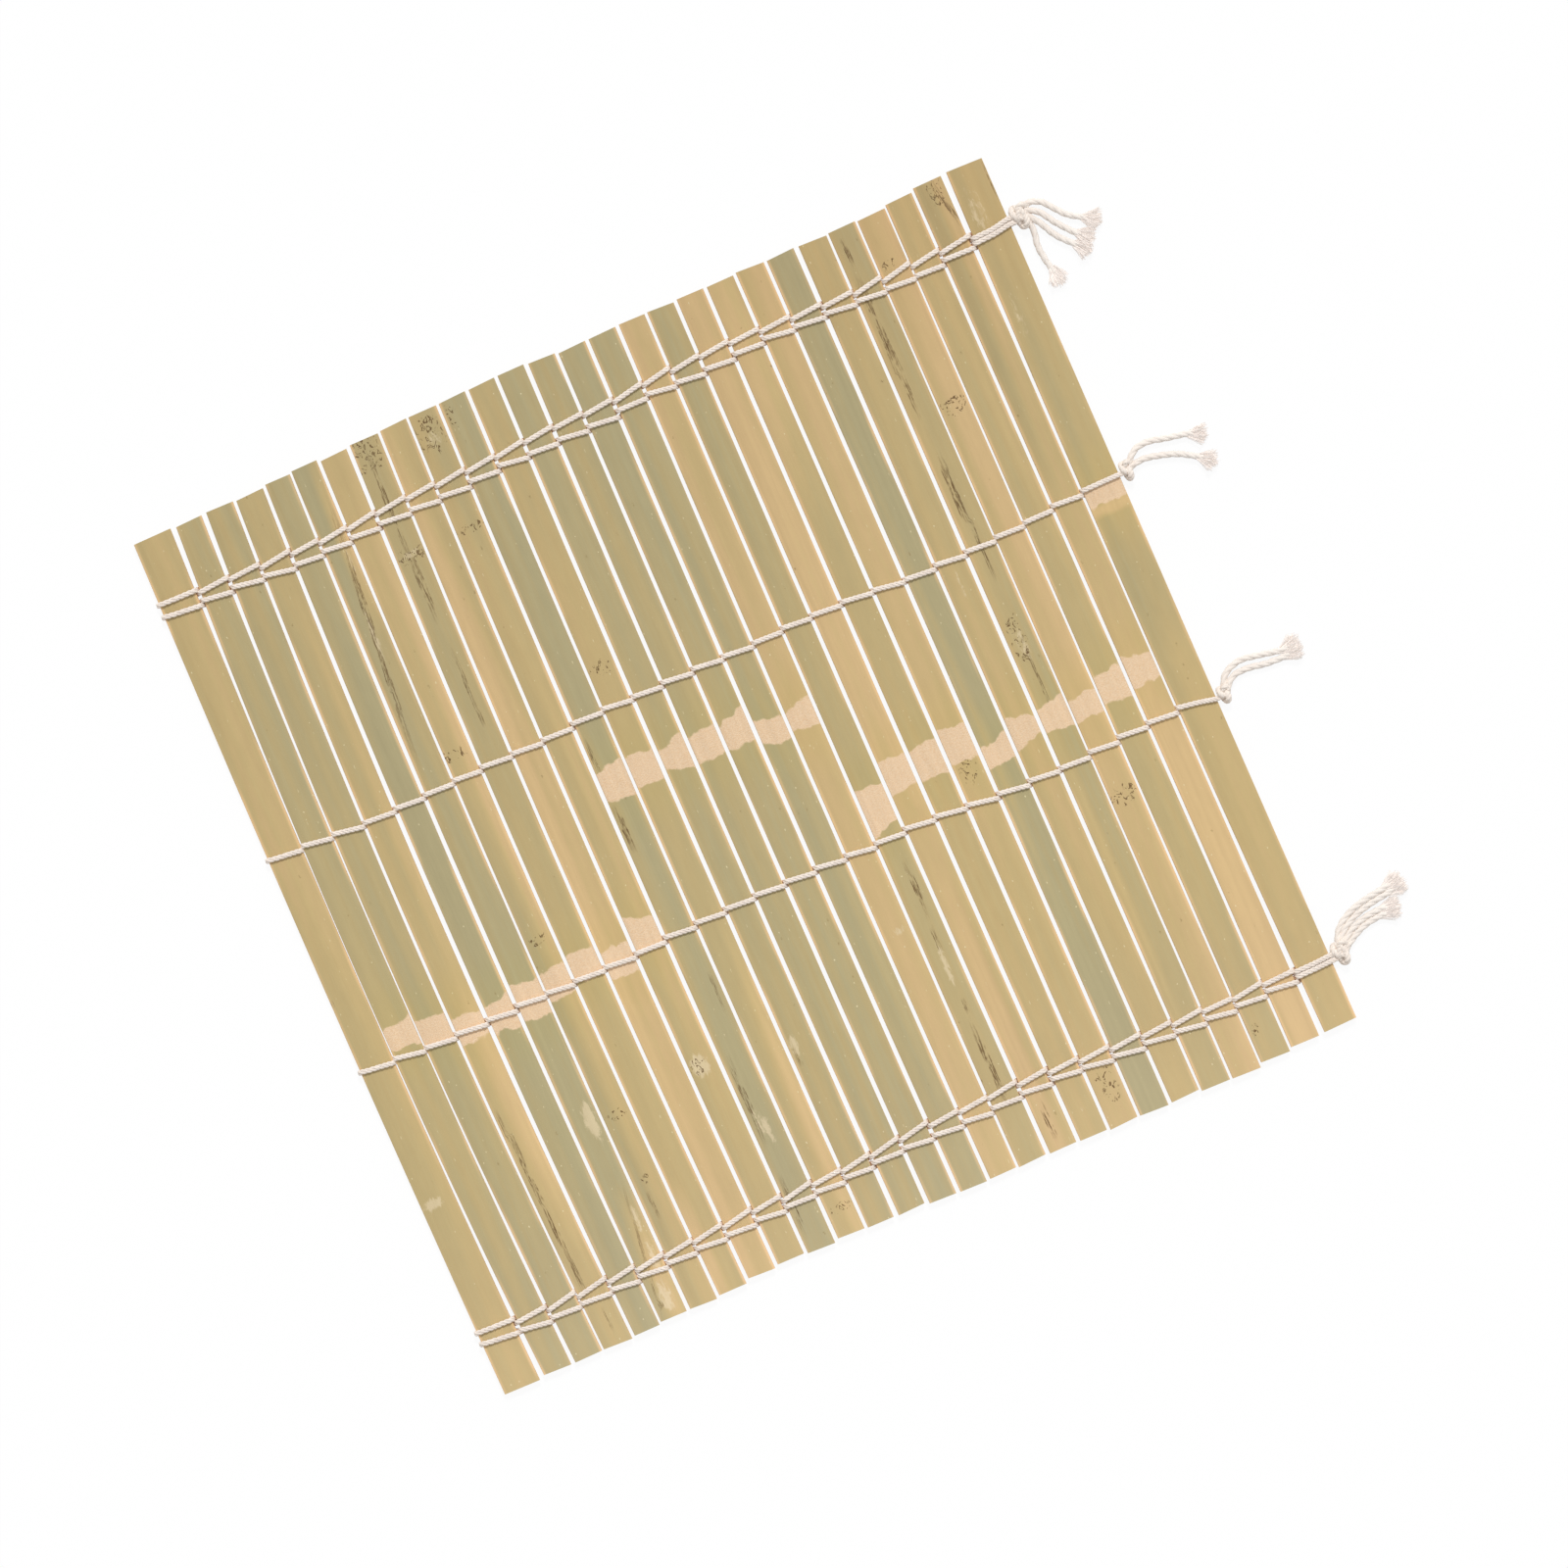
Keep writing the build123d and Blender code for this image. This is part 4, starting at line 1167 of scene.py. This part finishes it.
KNOTS = (
    Knot((124.1, 104.2), 5.4, 7.4, (0, 1)),
    Knot((122.9, 33.2), 3.6, 6.0, (2,)),
    Knot((122.9, -29.7), 3.8, 5.4, (3,)),
    Knot((123.9, -102.7), 5.2, 7.0, (4, 5)),
)
TAILS = (
    Tail(0, ((1.0, 1.8), (3.8, 2.0), (6.4, 0.8), (8.4, -1.6), (11.0, -4.6), (14.6, -7.0), (18.4, -9.4)), 4.4),
    Tail(0, ((1.2, 0.6), (4.6, -1.2), (7.5, -5.4), (10.8, -9.4), (14.9, -13.0)), 4.2),
    Tail(0, ((1.2, -0.6), (3.8, -4.0), (6.2, -8.4), (9.4, -12.0), (13.0, -15.6)), 4.4),
    Tail(0, ((0.8, -1.0), (1.5, -5.0), (0.9, -9.2), (1.3, -13.2), (2.1, -17.0), (2.6, -20.4)), 3.6),
    Tail(1, ((0.8, 0.9), (4.0, 3.8), (8.0, 4.3), (12.4, 3.3), (17.4, 2.3), (22.7, 0.5)), 3.8),
    Tail(1, ((0.9, 0.1), (4.9, 0.7), (9.4, -0.2), (13.8, -1.7), (18.0, -4.2), (21.9, -7.4)), 3.8),
    Tail(2, ((0.1, 0.9), (2.3, 4.4), (6.8, 6.1), (12.0, 5.4), (17.5, 4.3), (22.9, 4.7)), 3.4),
    Tail(2, ((0.8, 0.4), (3.9, 3.1), (8.2, 3.4), (13.1, 2.6), (18.2, 2.4), (22.8, 2.6)), 3.4),
    Tail(3, ((-0.4, 1.4), (1.7, 5.4), (5.8, 8.2), (10.8, 9.7), (15.8, 10.4), (21.6, 11.4)), 3.6),
    Tail(3, ((0.4, 1.2), (2.9, 4.7), (7.0, 6.9), (11.8, 8.2), (16.7, 8.9), (22.0, 9.6)), 3.6),
    Tail(3, ((1.0, 0.8), (4.1, 3.6), (8.2, 5.3), (13.0, 5.9), (18.6, 5.5)), 3.0),
    Tail(3, ((1.0, -0.2), (4.4, 2.0), (8.4, 3.7), (12.8, 4.3), (18.0, 3.9)), 3.0),
)


@dataclass(frozen=True)
class Ends:
    """The strings' last stretches, their knots, and the loose frayed ends."""

    weave: Weave = Weave()
    strand: Strand = Strand()
    loose: Strand = Strand(ply_radius=0.58, spread=0.3, flat=0.85, step=0.35, sides=12)
    end_turns: float = 8 / 3
    # How far beside a knot's middle each of two strings enters it, and how far along the slat all of them bend
    pair_aside: float = 0.72
    drawn_down: float = 0.5
    # Where a string bends on its way to the knot: past the slat's middle, before its edge, inside the knot
    to_knot: tuple[float, float, float] = (2.4, 0.4, 0.6)
    # A knot's middle height, the radius of its plies and, as shares, how far they spread and how little they
    # are flattened, its turns, and how loose its cotton looks
    knot_height: float = 1.78
    knot_ply: float = 0.5
    knot_spread: float = 0.84
    knot_flat: float = 0.8
    knot_turns: float = 7.0
    knot_looseness: float = 0.25
    # A knot's lobes: how far inside its measured size their line runs, how far it swings up and down, where
    # it begins and how far before its beginning it ends, and its points
    lobe_inset: float = 0.85
    lobe_swing: float = 0.8
    lobe_ends: tuple[float, float] = (0.35, 0.2)
    lobe_points: int = 40
    # The turn and the size of each string's lobes in a knot
    loops: tuple = ((0.0, 1.0), (0.9, 0.8))
    # A loose end's heights, just out of its knot and on the ground, and the length of one of its turns
    drop_height: float = 1.15
    tail_height: float = 0.92
    loose_turn_length: float = 7.5
    # A frayed tip: its length, how far inside the string its fibres begin, how wide they begin and how far
    # they spread, and how many and how thick they are
    fray_length: float = 3.4
    fray_root: float = 1.2
    fray_core: float = 0.78
    fray_flare: float = 0.95
    fibres: int = 260
    fibre_radius: float = 0.075
    # How flat the brush is, how much of each fibre's way is its own, how many points it has, how short the
    # shortest is, and how far and how closely they wave
    fray_flat: float = 0.55
    fray_stray: float = 0.14
    fibre_points: int = 5
    shortest: float = 0.8
    sway: float = 1.5
    sway_waves: float = 1100.0
    # How loose a string end's cotton looks at its knot, and how much more at its tip
    looseness: tuple[float, float] = (0.35, 0.65)

    def fray_tree(self) -> bpy.types.NodeTree:
        """The tree that makes a brush of thin fibres from a string's end.

        Returns:
            The geometry tree.
        """
        inputs = {"Start": Input.ARROW, "Ahead": Input.ARROW, "Count": Input.COUNT, "Seed": Input.COUNT,
                  **{label: Input.LENGTH for label in ("Length", "Flare", "Core", "Fibre Radius")},
                  "Finish": Input.FINISH}
        tree, book, source = new_growth("frayed_tip", inputs)
        seed, thin = source.of("Seed"), source.of("Fibre Radius")

        def scatter(offset: int) -> Sock:
            """A random arrow for each fibre, flatter than it is wide."""
            flat = self.fray_flat
            values = {0: (-1.0, -1.0, -flat), 1: (1.0, 1.0, flat), "Seed": seed + offset}
            return book.add("FunctionNodeRandomValue", values, data_type="FLOAT_VECTOR")

        first = scatter(1)
        dots = book.add("GeometryNodePoints", {"Count": source.of("Count")})
        dots = book.moved(dots, Position=source.of("Start") + first * source.of("Core"))
        aim = source.of("Ahead") + (first + scatter(2) * self.fray_stray) * source.of("Flare")
        hair = book.add("GeometryNodeCurvePrimitiveLine", {"Start": (0.0, 0.0, 0.0), "End": (0.0, 0.0, 1.0)})
        hair = book.add("GeometryNodeResampleCurve", {"Curve": hair, "Count": self.fibre_points})
        along = book.add("GeometryNodeSplineParameter", output="Factor")
        hair = book.moved(hair, Offset=book.place(X=(along * 4.0).sin() * 0.03, Y=along * along * 0.04))
        facing = book.add("FunctionNodeAlignRotationToVector", {"Vector": aim}, axis="Z")
        values = {2: self.shortest, 3: 1.0, "Seed": seed + 3}
        long = book.add("FunctionNodeRandomValue", values, 1, data_type="FLOAT")
        values = {"Points": dots, "Instance": hair, "Rotation": facing, "Scale": long * source.of("Length")}
        hairs = book.add("GeometryNodeInstanceOnPoints", values)
        hairs = book.add("GeometryNodeRealizeInstances", {0: hairs})
        place = book.add("GeometryNodeInputPosition")
        values = {"Vector": place * self.sway_waves, "Scale": 1.0, "Detail": 1.0}
        wave = book.add("ShaderNodeTexNoise", values, "Color")
        wave = book.add("ShaderNodeVectorMath", {0: wave, 1: (0.5, 0.5, 0.5)}, operation="SUBTRACT")
        sway = book.add("GeometryNodeSplineParameter", output="Factor") * (self.sway * MM)
        x = book.parted(place + wave * sway)
        above_ground = x.of("Z").over(thin * 1.1)
        hairs = book.moved(hairs, Position=book.place(X=x, Y=x.of("Y"), Z=above_ground))
        finish_growth(book, book.tubes(hairs, book.ring(3, thin)), source.of("Finish"))
        return tree

    def into_knot(self, course: Course, knot: Knot, over: bool, aside: float) -> np.ndarray:
        """The line of a string's half from the last slat's middle into its knot."""
        start = self.weave.middle(course, SLAT_COUNT, over)
        height, (x, y), (after, before, inside) = start[2], knot.middle, self.to_knot
        edge, meet = float(RIGHT_SIDE.side(y, 0)), y + aside
        points = [start, (start[0] + after, (start[1] + meet) / 2, height), (edge - before, meet, height)]
        points += [(x - knot.length / 2 + inside, meet, (height + self.knot_height) / 2)]
        return np.array([*points, (x, y + aside / 2, self.knot_height)])

    def lump(self, knot: Knot, turn: float, size: float) -> np.ndarray:
        """The line of a tight overhand knot, as a three-lobed loop.

        Args:
            knot: The knot.
            turn: How far its lobes are turned.
            size: Its size as a share of the knot's.

        Returns:
            The line's points.
        """
        x, y = knot.middle
        long, wide = ((full / 2 - self.lobe_inset) * size for full in (knot.length, knot.width))
        t = np.linspace(self.lobe_ends[0], TAU - self.lobe_ends[1], self.lobe_points)
        # A trefoil, which reaches about one each way
        a = (np.sin(t + turn) + 2 * np.sin(2 * t + turn)) / 2.6
        b = (np.cos(t + turn) - 2 * np.cos(2 * t + turn)) / 2.6
        c = -np.sin(3 * t) * self.lobe_swing
        return np.stack([x + long * a, y + wide * b, self.knot_height + c], axis=1)

    def tail_route(self, tail: Tail) -> np.ndarray:
        """A loose end's line, from inside its knot down to the ground and along it."""
        x, y = KNOTS[tail.knot].middle
        heights = [self.knot_height, self.drop_height] + [self.tail_height] * (len(tail.route) - 2)
        return np.array([(x + a, y + b, z) for (a, b), z in zip(tail.route, heights)])

    def build(self, finish: bpy.types.Material) -> None:
        """Make the last stretches, the knots and the loose ends.

        Args:
            finish: The cotton material.
        """
        body = body_of_slat(SLAT_COUNT)
        level = self.strand.tree("tied_cotton", "Z_UP")
        turned = self.strand.tree("knotted_cotton", "MINIMUM_TWIST")
        sizes = self.strand.sizes(finish)
        thick = {"Ply Radius": self.knot_ply * MM, "Spread": self.knot_ply * self.knot_spread * MM}
        for number, knot in enumerate(KNOTS, 1):
            count = len(knot.courses)
            asides = (self.pair_aside, -self.pair_aside) if count > 1 else (0.0,)
            routes = [self.into_knot(COURSES[course], knot, over, aside - self.drawn_down)
                      for course, aside in zip(knot.courses, asides) for over in (True, False)]
            piece = grow(f"string_end_{number}", routes, level, sizes, self.turning(self.end_turns, routes))
            carry(piece, "loose", 0.0)
            settle(piece, body, "cotton_string", "stitches_28")
            loops = [self.lump(knot, turn, size) for turn, size in self.loops[:count]]
            tight = {**sizes, **thick, "Flatness": self.knot_flat}
            piece = grow(f"knot_{number}", loops, turned, tight, self.turning(self.knot_turns, loops))
            carry(piece, "loose", self.knot_looseness)
            settle(piece, body, "cotton_string", "knots")
        fray = self.fray_tree()
        for number, tail in enumerate(TAILS, 1):
            self.tail(number, tail, turned, fray, finish)

    def turning(self, turns: float, routes: list[np.ndarray]) -> dict[str, list[float]]:
        """The same number of turns for each of some lines."""
        return {"turns": [turns] * len(routes), "phase": [0.0] * len(routes)}

    def tail(self, number: int, tail: Tail, twist: bpy.types.NodeTree, fray: bpy.types.NodeTree,
             finish: bpy.types.Material) -> None:
        """Make one loose end: its twisted length and its frayed tip, in one piece.

        Args:
            number: Its number.
            tail: Its facts.
            twist, fray: The trees that make it.
            finish: The cotton material.
        """
        route = self.tail_route(tail)
        tip = route[-1].copy()
        back = route[-2] - tip
        start = tip + back * min(1.0, self.fray_length / np.linalg.norm(back))
        route[-1] = start
        numbers = {"turns": [length(route) / self.loose_turn_length], "phase": [number * 0.1]}
        cord = grow(f"loose_end_{number:02d}", [route], twist, self.loose.sizes(finish), numbers)
        ahead = (tip - start) / np.linalg.norm(tip - start)
        reach = float(np.linalg.norm(tip - start)) + self.fray_root
        sizes = {"Start": tuple((start - ahead * self.fray_root) * MM), "Ahead": tuple(ahead),
                 "Length": reach * MM, "Flare": tail.fray / 2 / reach * self.fray_flare,
                 "Core": self.fray_core * MM, "Fibre Radius": self.fibre_radius * MM,
                 "Count": self.fibres, "Seed": number * 7, "Finish": finish}
        brush = grow(f"loose_end_{number:02d}_tip", [np.array([tip, start])], fray, sizes)
        for piece in (cord, brush):
            along = np.linalg.norm(corners(piece) - route[0], axis=1) / np.linalg.norm(tip - route[0])
            carry(piece, "loose", np.clip(self.looseness[0] + along * self.looseness[1], 0, 1))
            carry(piece, "frayed", 1.0 if piece is brush else 0.0)
        with bpy.context.temp_override(active_object=cord, selected_editable_objects=[cord, brush]):
            bpy.ops.object.join()
        settle(cord, body_of_slat(SLAT_COUNT), "cotton_string", "tassels")


@dataclass(frozen=True)
class Studio:
    """The floor, the light and the camera."""

    # The picture's width and its middle, in millimetres, and how far the mat lies turned in it, in degrees
    across: float = 404.2
    centre: tuple[float, float] = (9.6, -5.8)
    roll: float = -23.59
    lens: float = 150.0
    far_clip: float = 20.0
    # The floor's side, in metres, and how far below the mat it lies, in millimetres
    floor_size: float = 6.0
    floor_drop: float = 0.15
    backdrop: tuple = looks_like(250, 250, 250)
    # The floor is seen as plain white, with only this much of it left to shadows
    floor_shadow: float = 0.07
    # The strength of the light from all round and of the key, and the key's breadth and tilt, in degrees
    sky: float = 0.56
    key: float = 1.95
    key_angle: float = 13.0
    key_tilt: float = -42.0
    white: tuple = looks_like(255, 255, 255)

    def camera(self) -> None:
        """Set the camera straight above the mat, turned as in the photograph."""
        data = bpy.data.cameras.new("camera")
        data.lens = self.lens
        camera = bpy.data.objects.new("camera", data)
        distance = self.across * MM * self.lens / data.sensor_width
        camera.location = (self.centre[0] * MM, self.centre[1] * MM, distance)
        camera.rotation_euler = (0.0, 0.0, math.radians(self.roll))
        data.clip_end = self.far_clip
        bpy.context.scene.collection.objects.link(camera)
        bpy.context.scene.camera = camera

    def floor(self) -> None:
        """Lay a plain white floor that keeps a faint shadow."""
        half = self.floor_size / 2
        mesh = bpy.data.meshes.new("floor")
        corner_points = [(-half, -half, 0.0), (half, -half, 0.0), (half, half, 0.0), (-half, half, 0.0)]
        mesh.from_pydata(corner_points, [], [(0, 1, 2, 3)])
        floor = bpy.data.objects.new("floor", mesh)
        floor.location.z = -self.floor_drop * MM
        bpy.context.scene.collection.objects.link(floor)
        material, book = new_material("floor")
        ray = book.add("ShaderNodeLightPath", output="Is Camera Ray")
        seen = ray.over(ray.of("Is Glossy Ray")).over(ray.of("Is Transmission Ray"))
        matt = book.add("ShaderNodeBsdfDiffuse", {"Color": self.backdrop})
        glow = book.add("ShaderNodeEmission", {"Color": self.white, "Strength": 1.0})
        share = seen * (1.0 - self.floor_shadow)
        surface = book.add("ShaderNodeMixShader", {0: share, 1: matt, 2: glow})
        book.add("ShaderNodeOutputMaterial", {"Surface": surface})
        mesh.materials.append(material)

    def light(self) -> None:
        """Light the mat softly, with a key from the top of the picture."""
        world = bpy.data.worlds.new("studio")
        world.use_nodes = True
        world.node_tree.nodes.clear()
        book = Nodes(world.node_tree)
        ray = book.add("ShaderNodeLightPath", output="Is Camera Ray")
        seen = ray.over(ray.of("Is Transmission Ray"))
        strength = seen * (1.0 - self.sky) + self.sky
        sky = book.add("ShaderNodeBackground", {"Color": self.white, "Strength": strength})
        book.add("ShaderNodeOutputWorld", {"Surface": sky})
        bpy.context.scene.world = world
        data = bpy.data.lights.new("key", "SUN")
        data.energy, data.angle = self.key, math.radians(self.key_angle)
        key = bpy.data.objects.new("key", data)
        key.rotation_euler = (math.radians(self.key_tilt), 0.0, math.radians(self.roll))
        bpy.context.scene.collection.objects.link(key)

    def build(self) -> None:
        """Set up the floor and the light, at a plain level."""
        self.floor()
        self.light()
        bpy.context.scene.view_settings.view_transform = "Standard"


def main() -> None:
    """Build the mat and its studio."""
    logging.basicConfig(level=logging.INFO, format="%(name)s: %(message)s")
    random.seed(RANDOM_SEED)
    studio = Studio()
    studio.camera()
    cotton = CottonFinish().build()
    Ends().build(cotton)
    Weave().build(cotton)
    Slats().build(BambooFinish().build())
    studio.build()


if __name__ == "__main__":
    main()
